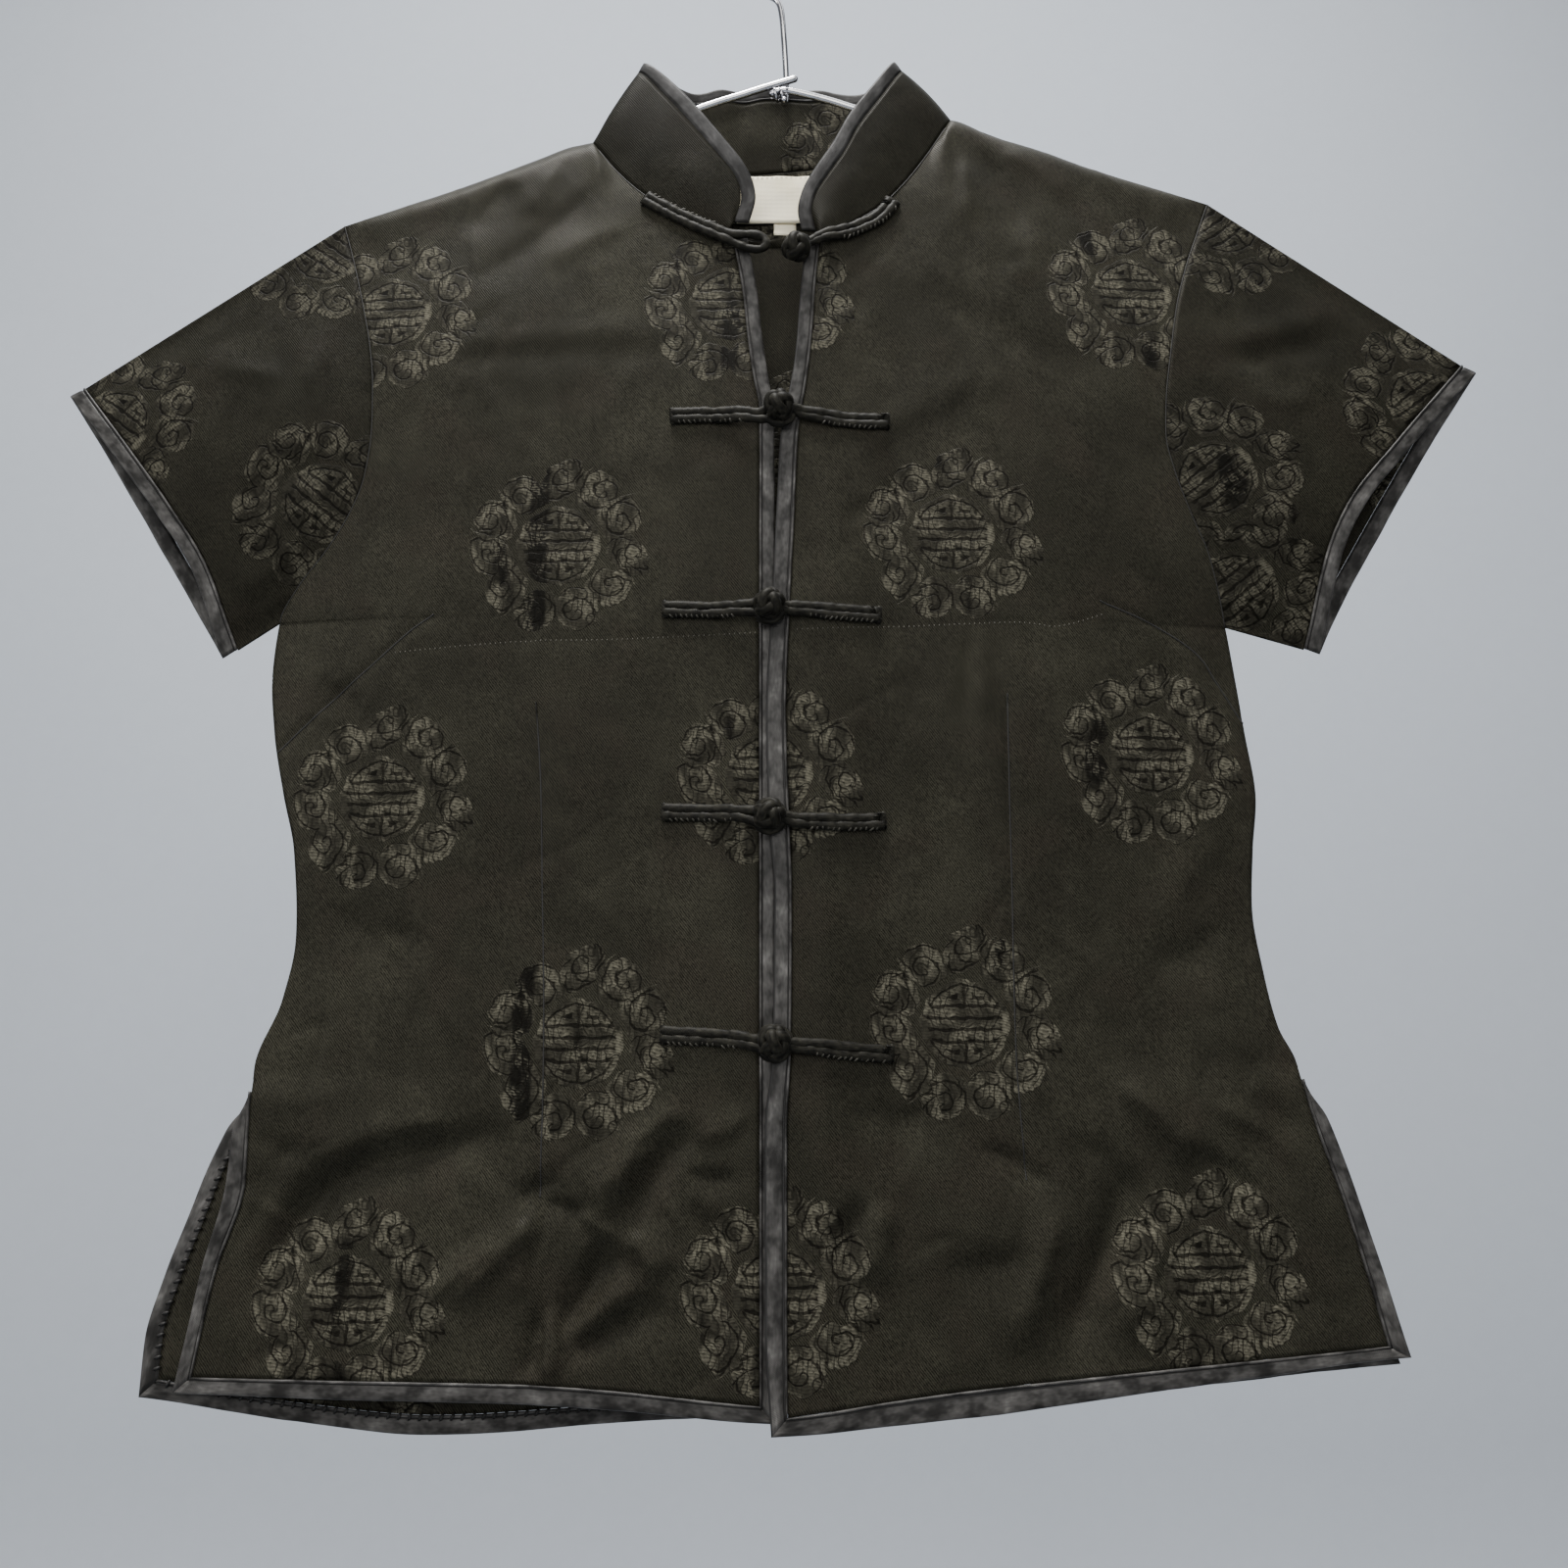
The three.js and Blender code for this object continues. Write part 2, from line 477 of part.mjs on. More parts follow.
// A bias binding between two lines of points; facing is 1 or -1 for the side its piping stands on.
// shorten takes a little off an open strip at its start and its end.
function binding(inner, outer, facing, { closed = false, shorten = 0, gap = seamGap } = {}) {
  const count = inner.length;
  const points = [];
  inner.forEach((start, i) => {
    const before = closed ? inner[(i + count - 1) % count] : inner[Math.max(0, i - 1)];
    const after = closed ? inner[(i + 1) % count] : inner[Math.min(count - 1, i + 1)];
    const along = new THREE.Vector3().subVectors(after, before).normalize();
    const across = new THREE.Vector3().subVectors(outer[i], start);
    const up = new THREE.Vector3().crossVectors(along, across).normalize().multiplyScalar(facing);
    const shift = closed ? 0 : shorten * ((i === 0) - (i === count - 1));
    const from = start.clone().addScaledVector(across, gap / across.length());
    for (const corner of bindingSection) {
      const height = corner.up * bindingThickness + corner.rise * pipingRise;
      points.push(from.clone().lerp(outer[i], corner.across).addScaledVector(up, height)
        .addScaledVector(along, shift));
    }
  });
  const corners = bindingSection.length;
  const triangles = [];
  const spans = closed ? count : count - 1;
  for (let i = 0; i < spans; i += 1) {
    const next = (i + 1) % count;
    for (let k = 0; k < corners; k += 1) {
      const step = (k + 1) % corners;
      const [a, b] = [i * corners + k, i * corners + step];
      const [c, d] = [next * corners + step, next * corners + k];
      triangles.push(a, b, c, a, c, d);
    }
  }
  if (!closed) {
    for (let k = 1; k < corners - 1; k += 1) {
      const last = (count - 1) * corners;
      triangles.push(0, k + 1, k, last, last + k, last + k + 1);
    }
  }
  return closedGeometry(points, triangles);
}

// A round cord or wire along a smooth curve through points
function roundAlong(points, radius, steps, facets, tension = 0.5) {
  const circle = new THREE.Shape(Array.from({ length: facets }, (_, i) => {
    const angle = (2 * Math.PI * i) / facets;
    return new THREE.Vector2(radius * Math.cos(angle), radius * Math.sin(angle));
  }));
  const path = new THREE.CatmullRomCurve3(points, false, 'catmullrom', tension);
  return new THREE.ExtrudeGeometry(circle, { steps, bevelEnabled: false, extrudePath: path });
}

const group = new THREE.Group();

function add(name, geometry, color, roughness, metalness = 0) {
  const material = new THREE.MeshStandardMaterial({ color, roughness, metalness });
  const mesh = new THREE.Mesh(geometry, material);
  mesh.name = name;
  group.add(mesh);
}

const satin = (name, geometry) => add(name, geometry, black, 0.45);
const trim = (name, geometry) => add(name, geometry, charcoal, 0.4);

// Columns of a front: even from the centre front to the neck point, and on to the armhole
function frontColumns(side) {
  const centre = centreFront[side][0].x;
  const neck = (neckPoint[side] - centre) / (sideEdge[side][0].x - centre);
  const columns = neckColumns.map((part) => neck * part);
  for (let i = 0; i <= shoulderColumns; i += 1) columns.push(mix(neck, 1, i / shoulderColumns));
  return columns;
}

function frontGrid(side) {
  return panelGrid({
    columns: frontColumns(side),
    innerX: (z) => lookUp(centreFront[side], 'z', 'x', z),
    outerX: (z) => lookUp(frontEdge[side], 'z', 'x', z),
    topZ: (x) => lookUp(topEdge[side], 'x', 'z', x),
    bottomZ: (x) => lookUp(hem[side], 'x', 'z', x),
    underarmZ: () => sides[side].underarmZ,
    pointAt: (x, z) => frontPoint(side, x, z),
  });
}

// Columns of the back, with one at each neck point
function backColumns() {
  const from = sideEdge.right[0].x;
  const span = sideEdge.left[0].x - from;
  const stops = [from, neckPoint.right, neckPoint.left, sideEdge.left[0].x];
  const counts = [shoulderColumns - 1, backNeckSpans, shoulderColumns - 1];
  const columns = [0];
  counts.forEach((count, i) => {
    for (let k = 1; k <= count; k += 1) columns.push((mix(stops[i], stops[i + 1], k / count) - from) / span);
  });
  return columns;
}

function backGrid() {
  return panelGrid({
    columns: backColumns(),
    innerX: (z) => lookUp(backEdge.right, 'z', 'x', z),
    outerX: (z) => lookUp(backEdge.left, 'z', 'x', z),
    topZ: (x) => lookUp(topEdge.back, 'x', 'z', x),
    bottomZ: (x) => lookUp(hem.back, 'x', 'z', x),
    underarmZ: (part) => mix(sides.right.underarmZ, sides.left.underarmZ, part),
    pointAt: (x, z) => backPoint(x, z),
  });
}

// Bindings of one panel's slit: from the slit top down to the corner of the hem
function slitBinding(edgePoints, table, corner, surface, facing, slitZ) {
  const rows = edgePoints.filter((point) => point.z < slitZ - slitOpenOver);
  const outer = rows.map((point) => surface(lookUp(table, 'z', 'edge', point.z), point.z));
  outer[outer.length - 1] = corner;
  return binding(rows, outer, facing, { shorten: seamGap });
}

const grids = { right: frontGrid('right'), left: frontGrid('left'), back: backGrid() };
const lastRow = armholeRows + bodyRows;

for (const side of ['right', 'left']) {
  const grid = grids[side];
  const { sign, slitZ } = sides[side];
  const surface = (x, z) => frontPoint(side, x, z);
  satin(`front_${side}`, wall(grid, clothThickness));

  const hemRow = grid[lastRow];
  const centre = grid.map((row) => row[0]);
  const edge = grid.map((row) => row[row.length - 1]);
  const centreCorner = surface(
    centre[lastRow].x - sign * lookUp(centreFront[side], 'z', 'width', centre[lastRow].z),
    lookUp(hem[side], 'x', 'edge', centre[lastRow].x),
  );
  const slitEnd = frontSlit[side][frontSlit[side].length - 1];
  const slitCorner = surface(slitEnd.edge, lookUp(hem[side], 'x', 'edge', slitEnd.x));

  const centreOuter = centre.map((point) => {
    const width = lookUp(centreFront[side], 'z', 'width', point.z);
    return surface(point.x - sign * width, point.z);
  });
  centreOuter[lastRow] = centreCorner;
  trim(`binding_centre_${side}`, binding(centre, centreOuter, -sign, { shorten: seamGap }));

  const hemOuter = hemRow.map((point) => surface(point.x, lookUp(hem[side], 'x', 'edge', point.x)));
  hemOuter[0] = centreCorner;
  hemOuter[hemOuter.length - 1] = slitCorner;
  trim(`binding_hem_${side}`, binding(hemRow, hemOuter, -sign, { shorten: seamGap }));
  trim(`binding_slit_${side}`, slitBinding(edge, frontSlit[side], slitCorner, surface, sign, slitZ));
}

satin('back_panel', wall(grids.back, clothThickness));
const backHemRow = grids.back[lastRow];
const backCorner = {};
for (const side of ['right', 'left']) {
  const { sign, slitZ } = sides[side];
  const slitEnd = backSlit[side][backSlit[side].length - 1];
  backCorner[side] = backPoint(slitEnd.edge, lookUp(hem.back, 'x', 'edge', slitEnd.x));
  const edge = grids.back.map((row) => (side === 'right' ? row[0] : row[row.length - 1]));
  const slit = slitBinding(edge, backSlit[side], backCorner[side], backPoint, -sign, slitZ);
  trim(`binding_back_slit_${side}`, slit);
}
const backHemOuter = backHemRow.map((point) => backPoint(point.x, lookUp(hem.back, 'x', 'edge', point.x)));
backHemOuter[0] = backCorner.right;
backHemOuter[backHemOuter.length - 1] = backCorner.left;
trim('binding_back_hem', binding(backHemRow, backHemOuter, -1, { shorten: seamGap }));

// Rings of a sleeve from the armhole to the hem: down the front from the top fold, up the back
function sleeveRings(side) {
  const { sign, underarmZ } = sides[side];
  const tipZ = sideEdge[side][0].z;
  const ringParts = [];
  for (let row = 0; row < armholeRows; row += 1) ringParts.push({ row, face: 'front' });
  for (let row = armholeRows; row > 0; row -= 1) ringParts.push({ row, face: 'back' });
  const hemDepth = (part) => sleeveDepth * Math.sin(Math.PI * part) ** armholePower;
  const point = ({ row, face }, down, edge) => {
    const part = armholePart(row);
    const facing = row === 0 || row === armholeRows ? 0 : { front: -1, back: 1 }[face];
    const z = mix(tipZ, underarmZ, part);
    const x = lookUp(sideEdge[side], 'z', 'x', z) + sign * sleeveGap;
    const table = sleeveHem[side][face];
    const hemX = lookUp(table, 'part', edge ? 'edgeX' : 'pipeX', part);
    const hemZ = lookUp(table, 'part', edge ? 'edgeZ' : 'pipeZ', part);
    const swell = sleeveSwell * Math.sin(Math.PI * part) * Math.sin(Math.PI * down);
    const half = mix(halfDepth(x, z, topEdge.back), hemDepth(part), smooth(0, 1, down)) + swell;
    return new THREE.Vector3(mix(x, hemX, down), facing * half, mix(z, hemZ, down));
  };
  const rings = [];
  for (let step = 0; step <= sleeveSteps; step += 1) {
    rings.push(ringParts.map((place) => point(place, step / sleeveSteps, false)));
  }
  return { rings, edge: ringParts.map((place) => point(place, 1, true)) };
}

for (const side of ['right', 'left']) {
  const { rings, edge } = sleeveRings(side);
  satin(`sleeve_${side}`, wall(rings, clothThickness, true));
  trim(`binding_sleeve_${side}`, binding(rings[sleeveSteps], edge, sides[side].sign, { closed: true }));
}

// Collar, from the neck seam of the panels to its piping
const collarParts = [0, 0.35, 0.7, 1];

function neckSeamPoint(row) {
  if (row.topY === 0) return new THREE.Vector3(row.seamX, 0, lookUp(topEdge.back, 'x', 'z', row.seamX));
  const line = grids[row.topY > 0 ? 'back' : row.seamX < 0 ? 'right' : 'left'][0];
  return new THREE.Vector3(row.seamX, lookUp(line, 'x', 'y', row.seamX), lookUp(line, 'x', 'z', row.seamX));
}

const collarColumns = collarRows.map((row) => {
  const pipe = new THREE.Vector3(row.pipeX, row.topY, row.pipeZ);
  const seam = neckSeamPoint(row);
  return { pipe, seam: seam.lerp(pipe, collarGap / seam.distanceTo(pipe)) };
});
const collarGrid = collarParts.map((part) => collarColumns.map(({ seam, pipe }) => seam.clone().lerp(pipe, part)));
satin('collar', wall(collarGrid, collarThickness));
const collarEdge = collarRows.map((row) => new THREE.Vector3(row.edgeX, row.topY, row.edgeZ));
trim('binding_collar', binding(collarGrid[collarParts.length - 1], collarEdge, 1, { gap: collarGap }));

// Label and size tab, inside the back of the neck
function innerPatch({ left, right, top, bottom }, clearance) {
  const rows = [0, 0.5, 1].map((down) => [0, 0.25, 0.5, 0.75, 1].map((part) => {
    const lift = -(clothThickness + labelThickness) / 2 - clearance;
    return backPoint(mix(left, right, part), mix(top, bottom, down), lift);
  }));
  return wall(rows, labelThickness);
}
add('neck_label', innerPatch(label, labelRest), cream, 0.7);
add('size_tab', innerPatch(sizeTab, tabRest), cream, 0.7);

// A frog's doubled cord: out along one leg, round the eye, back along the other.
// line gives the middle of the strap, from its sewn end to the middle of the eye of that radius.
function hairpin(line, eye) {
  const centre = line[line.length - 1];
  const strap = line.slice(0, -1);
  const along = new THREE.Vector3().subVectors(centre, strap[strap.length - 1]).setY(0).normalize();
  const across = new THREE.Vector3(-along.z, 0, along.x);
  const legs = [1, -1].map((hand) => strap.map((point, i) => {
    const way = new THREE.Vector3().subVectors(line[i + 1], line[Math.max(0, i - 1)]).setY(0).normalize();
    const aside = new THREE.Vector3(-way.z, 0, way.x);
    return point.clone().addScaledVector(aside, (hand * frogPitch) / 2);
  }));
  const turn = [];
  const turnSteps = eye > frogPitch ? 9 : 4;
  const opening = Math.asin(Math.min(0.95, frogPitch / 2 / eye)) + 0.25;
  for (let i = 0; i <= turnSteps; i += 1) {
    const angle = mix(Math.PI - opening, -Math.PI + opening, i / turnSteps);
    turn.push(centre.clone().addScaledVector(along, eye * Math.cos(angle))
      .addScaledVector(across, eye * Math.sin(angle)));
  }
  return [...legs[0], ...turn, ...legs[1].reverse()];
}

// Middle of a strap on a front, from its sewn end to a point, rising to the lift of that point
function frogLine(side, from, to, endLift, steps = 4) {
  const line = [];
  for (let i = 0; i <= steps; i += 1) {
    const part = i / steps;
    const lift = mix(restLift, endLift, smooth(0.45, 0.9, part));
    line.push(frontPoint(side, mix(from.x, to.x, part), mix(from.z, to.z, part), lift));
  }
  return line;
}

for (const frog of frogs) {
  const loopStart = { x: frog.loopX, z: frog.loopZ };
  const stemStart = { x: frog.stemX, z: frog.stemZ };
  const knotSide = { x: frog.knotX + (frog.open ? openReach : frogReach), z: frog.knotZ };
  const knotY = frog.open
    ? frontPoint('left', frog.knotX, frog.knotZ, overBinding + openKnotLift).y
    : frontPoint('right', frog.knotX, frog.knotZ, overlapLift + overBinding + knotLift).y;
  const sphere = new THREE.SphereGeometry(knotRadius, 10, 8);
  sphere.rotateX(Math.PI / 2);
  sphere.scale(1, knotHalfDepth / knotRadius, 1);
  sphere.translate(frog.knotX, knotY, frog.knotZ);
  if (frog.open) {
    const loopLine = frogLine('right', loopStart, openLoopEye, overBinding);
    satin(`${frog.name}_loop`, roundAlong(hairpin(loopLine, openEye), frogTube, 22, cordFacets));
    const upper = frogLine('left', stemStart, openStemBend, restLift, 2);
    const lower = frogLine('left', openStemBend, knotSide, overBinding, 3).slice(1);
    satin(`${frog.name}_stem`, roundAlong(hairpin([...upper, ...lower], stemEye), frogTube, 22, cordFacets));
  } else {
    const loopLine = frogLine('right', loopStart, { x: frog.knotX, z: frog.knotZ }, overlapLift + overBinding);
    satin(`${frog.name}_loop`, roundAlong(hairpin(loopLine, frogEye), frogTube, 28, cordFacets));
    const stemLine = frogLine('left', stemStart, knotSide, overBinding, 4);
    satin(`${frog.name}_stem`, roundAlong(hairpin(stemLine, stemEye), frogTube, 18, cordFacets));
  }
  satin(`${frog.name}_knot`, sphere);
}

// Hanger: two arms that cross at the top, and a hook whose foot turns under them
const armRight = [
  new THREE.Vector3(-192, 0, -165.6), new THREE.Vector3(-145, 0, -148), new THREE.Vector3(-94.7, 0, -129.4),
  new THREE.Vector3(-45, 0, -102.5), new THREE.Vector3(-12, 0, -90), new THREE.Vector3(6, 0, -84.6),
];
const armLeft = [
  new THREE.Vector3(-10, 0, -94.2), new THREE.Vector3(6, 0, -93), new THREE.Vector3(36, 0, -100),
  new THREE.Vector3(82.8, 0, -117.4), new THREE.Vector3(130, 0, -134.5), new THREE.Vector3(187, 0, -156),
];
add('hanger_arm_right', roundAlong(armRight, armRadius, 18, wireFacets, 0.3), chrome, 0.15, 1);
add('hanger_arm_left', roundAlong(armLeft, armRadius, 18, wireFacets, 0.3), chrome, 0.15, 1);

// The hook turns round a rod that touches it at the origin, then leans back to the stem
const hookCentreZ = -hookRadius + stemRadius;
const hookPoints = [];
for (let i = 0; i <= 12; i += 1) {
  const angle = mix(-0.15 * Math.PI, 1.16 * Math.PI, i / 12);
  hookPoints.push(new THREE.Vector3(hookRadius * Math.cos(angle), 0, hookCentreZ + hookRadius * Math.sin(angle)));
}
const stemY = armRadius + stemRadius + 0.35;
hookPoints.push(
  new THREE.Vector3(-8.5, 0, -44), new THREE.Vector3(-2.2, 0, -55), new THREE.Vector3(0, 0.4, -64),
  new THREE.Vector3(0, stemY, -80), new THREE.Vector3(0, stemY, -92), new THREE.Vector3(0, 1.6, -96.9),
  new THREE.Vector3(0, -1.8, -96.6),
);
add('hanger_hook', roundAlong(hookPoints, stemRadius, 36, wireFacets), chrome, 0.15, 1);

export default group;
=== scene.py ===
import math

import bmesh
import bpy
import numpy as np
from mathutils import Matrix, Vector, noise


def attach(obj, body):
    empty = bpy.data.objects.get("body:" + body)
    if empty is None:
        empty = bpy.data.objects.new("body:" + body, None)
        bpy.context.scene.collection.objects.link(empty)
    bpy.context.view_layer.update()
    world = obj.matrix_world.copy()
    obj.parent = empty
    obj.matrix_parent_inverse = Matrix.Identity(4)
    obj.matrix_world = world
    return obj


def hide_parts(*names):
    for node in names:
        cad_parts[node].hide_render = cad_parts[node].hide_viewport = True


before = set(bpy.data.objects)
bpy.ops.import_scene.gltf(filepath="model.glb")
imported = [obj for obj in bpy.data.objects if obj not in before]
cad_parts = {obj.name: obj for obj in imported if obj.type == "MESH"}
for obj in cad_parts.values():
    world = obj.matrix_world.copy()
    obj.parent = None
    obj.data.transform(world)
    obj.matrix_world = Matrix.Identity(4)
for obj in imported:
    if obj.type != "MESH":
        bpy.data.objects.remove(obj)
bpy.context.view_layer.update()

# Frog button shirt on a wire hanger. Tables are in millimetres, meshes in metres.
# x runs to the right of someone looking at the front, y away from them, z up.
# Right and left are the wearer's, so the wearer's right side has negative x.
mm = 0.001


def table(columns, *rows):
    return {name: np.array([row[i] for row in rows], float) for i, name in enumerate(columns.split())}


def mix(a, b, part):
    return a + (b - a) * part


def smoothStep(start, end, value):
    part = np.clip((value - start) / (end - start), 0, 1)
    return part * part * (3 - 2 * part)


def look(rows, key, column, at):
    # smooth curve through the rows of a table, which never overshoots between them
    xs, ys = rows[key], rows[column]
    if xs[0] > xs[-1]:
        xs, ys = xs[::-1], ys[::-1]
    steps = np.diff(xs)
    slopes = np.diff(ys) / steps
    bends = np.zeros(len(xs))
    bends[0], bends[-1] = slopes[0], slopes[-1]
    same = slopes[1:] * slopes[:-1] > 0
    a, b = (2 * steps[1:] + steps[:-1])[same], (steps[1:] + 2 * steps[:-1])[same]
    bends[1:-1][same] = (a + b) / (a / slopes[:-1][same] + b / slopes[1:][same])
    at = np.clip(np.asarray(at, float), xs[0], xs[-1])
    i = np.clip(np.searchsorted(xs, at, side="right") - 1, 0, len(steps) - 1)
    t = (at - xs[i]) / steps[i]
    start, end = ys[i], ys[i + 1]
    rise, leave, arrive = end - start, bends[i] * steps[i], bends[i + 1] * steps[i]
    return start + t * leave + t * t * (3 * rise - 2 * leave - arrive) + t ** 3 * (leave + arrive - 2 * rise)


def joined(first, second):
    return {name: np.concatenate([first[name], second[name]]) for name in ("z", "x")}


print("tables")

cloth = {
    "thick": 0.6,            # satin and its seam allowances
    "seamHalf": 0.34,
    "lensPower": 2.6,
    "lensCentreX": -3,
    "topSwell": 35,
    "ridgeSwell": 2.2,
    "ridgeSwellAt": 7,
    "ridgeFadeOver": 12,
    "armholeDepth": 8,
    "armholePower": 0.8,
    "slitOpen": 2.2,
    "slitOpenOver": 14,
    "overlapLift": 2.9,
    "overlapFrom": 12,
    "overlapTo": 60,
    "foldFadeOver": 26,
}

bodyDepth = table("z half", (-120, 12), (-170, 13), (-250, 15), (-330, 16), (-420, 14), (-500, 10),
                  (-580, 9.5), (-650, 10), (-730, 10.5))

sides = {
    "right": {"sign": -1, "underarmZ": -371, "slitZ": -574},
    "left": {"sign": 1, "underarmZ": -373, "slitZ": -570},
}

# armhole, then side seam
sideEdge = {
    "right": table("z x", (-167, -214.6), (-185.6, -208.9), (-214, -201.4), (-233, -197.1), (-254.5, -194.1),
                   (-278.8, -193.1), (-302.3, -195.4), (-319, -201), (-336.7, -210.8), (-354, -223.2),
                   (-371, -231.5), (-396, -233), (-424, -230), (-452, -224), (-478, -217.5), (-518, -214),
                   (-544, -218), (-574, -228)),
    "left": table("z x", (-155, 207.4), (-170.6, 201.6), (-189.8, 194.6), (-212.4, 188.2), (-238, 183.5),
                  (-262.8, 179.8), (-281.8, 178.7), (-298.9, 182), (-319, 188.4), (-339.4, 196),
                  (-373, 202.3), (-396, 205), (-424, 208), (-452, 211), (-478, 208), (-505, 206), (-531, 209),
                  (-556, 214), (-570, 220.5)),
}

# slits: x is the seam of the binding, edge its outer edge
frontSlit = {
    "right": table("z x edge", (-590, -228, -234.5), (-621, -227.5, -236), (-657, -236.9, -243.5),
                   (-706, -244.8, -251.3)),
    "left": table("z x edge", (-584, 223, 228), (-600, 227, 234), (-630, 236, 243), (-660, 243.5, 251),
                  (-696, 251.5, 259)),
}
backSlit = {
    "right": table("z x edge", (-590, -228, -235), (-614, -238, -245.3), (-638, -246, -253.3),
                   (-658, -252.6, -260), (-684, -258.8, -266.4), (-710, -259.4, -266.9)),
    "left": table("z x edge", (-584, 221.5, 227), (-600, 225.5, 232.5), (-650, 238, 245), (-700, 249, 256)),
}
frontEdge = {side: joined(sideEdge[side], frontSlit[side]) for side in sides}
backEdge = {side: joined(sideEdge[side], backSlit[side]) for side in sides}

centreFront = {
    "right": table("z x width", (-179, -25, 7.2), (-211, -19.6, 7), (-235, -17.2, 7), (-256, -14.3, 7),
                   (-272, -11.6, 7), (-369, -11.3, 7.2), (-562, -10.6, 6.8), (-716, -9.9, 6)),
    "left": table("z x width", (-184, 17.2, 7.2), (-210, 14.8, 7), (-228, 13.7, 7), (-246, 12.1, 7.2),
                  (-262, 10, 7.5), (-285, 6.6, 8.2), (-330, 4.6, 8.4), (-369, 2.7, 8), (-416, 1, 9),
                  (-464, 2.2, 9), (-500, 3.5, 7.7), (-566, 3, 7.7), (-600, 1.4, 9.5), (-680, 1.4, 9),
                  (-721, 1.6, 6)),
}

# top edges: neck seam, then shoulder ridge; half is the distance from the hanger's plane
seamHalf = cloth["seamHalf"]
topEdge = {
    "right": table("x z half", (-25, -179, 13), (-47.2, -169.5, 11.5), (-66.5, -156.4, 9), (-81.4, -141, 6),
                   (-91, -127.5, 3.4), (-94.7, -121.3, 1.3), (-103, -122.5, seamHalf), (-121, -130, seamHalf),
                   (-155, -144.5, seamHalf), (-214.6, -167, seamHalf)),
    "left": table("x z half", (17.2, -184, 13), (30.6, -174.8, 11.5), (49.8, -159, 9), (67.1, -135.7, 6),
                  (79.2, -115.5, 3.4), (82.8, -108.6, 1.3), (103, -117, seamHalf), (131, -127, seamHalf),
                  (149, -134.5, seamHalf), (207.4, -155, seamHalf)),
    "back": table("x z half", (-214.6, -167, seamHalf), (-155, -144.5, seamHalf), (-121, -130, seamHalf),
                  (-103, -122.5, seamHalf), (-94.7, -121.3, 1.3), (-88, -125, 3.4), (-60, -130, 8),
                  (-20, -131, 11), (15, -128, 11), (50, -123.5, 8.5), (77, -113, 3.4), (82.8, -108.6, 1.3),
                  (103, -117, seamHalf), (131, -127, seamHalf), (149, -134.5, seamHalf),
                  (207.4, -155, seamHalf)),
}
neckPoint = {"right": -94.7, "left": 82.8}

# hems: z is the seam of the binding, edge its lowest edge
hem = {
    "right": table("x z edge", (-245, -699, -705.5), (-180, -700, -707.5), (-112, -701, -708.7),
                   (-5, -709.5, -716.4)),
    "left": table("x z edge", (0, -713.4, -720.8), (80, -703, -713.6), (120, -699, -708.4),
                  (255, -686.5, -691)),
    "back": table("x z edge", (-262, -700, -707), (-201, -710, -717.5), (-145, -715, -723),
                  (-64, -710.5, -718), (0, -707.5, -715), (80, -704.5, -712), (160, -697.5, -705),
                  (252, -686.5, -694)),
}


def edgeHalf(side, z):
    tipZ = sideEdge[side]["z"][0]
    underarmZ, slitZ = sides[side]["underarmZ"], sides[side]["slitZ"]
    part = np.clip((z - tipZ) / (underarmZ - tipZ), 0, 1)
    bow = cloth["armholeDepth"] * np.sin(np.pi * part) ** cloth["armholePower"]
    slit = cloth["slitOpen"] * smoothStep(slitZ, slitZ - cloth["slitOpenOver"], z)
    return seamHalf + np.where(z > underarmZ, bow, slit)


def halfDepth(x, z, top):
    centreX = cloth["lensCentreX"]
    onRight = x < centreX
    edge = np.where(onRight, look(frontEdge["right"], "z", "x", z), look(frontEdge["left"], "z", "x", z))
    part = np.clip((x - centreX) / (edge - centreX), 0, 1)
    edgeDepth = np.where(onRight, edgeHalf("right", z), edgeHalf("left", z))
    lens = mix(look(bodyDepth, "z", "half", z), edgeDepth, part ** cloth["lensPower"])
    base = look(top, "x", "half", x)
    below = np.maximum(0, look(top, "x", "z", x) - z)
    beyondNeck = np.where(onRight, neckPoint["right"] - x, x - neckPoint["left"])
    ridge = smoothStep(-cloth["ridgeFadeOver"], 0, beyondNeck) * cloth["ridgeSwell"]
    ridge = ridge * below / cloth["ridgeSwellAt"] * np.exp(1 - below / cloth["ridgeSwellAt"])
    ridge = ridge * smoothStep(1, 0.9, x / edge)
    return mix(np.maximum(lens, base), base, np.exp(-below / cloth["topSwell"])) + ridge


print("folds")

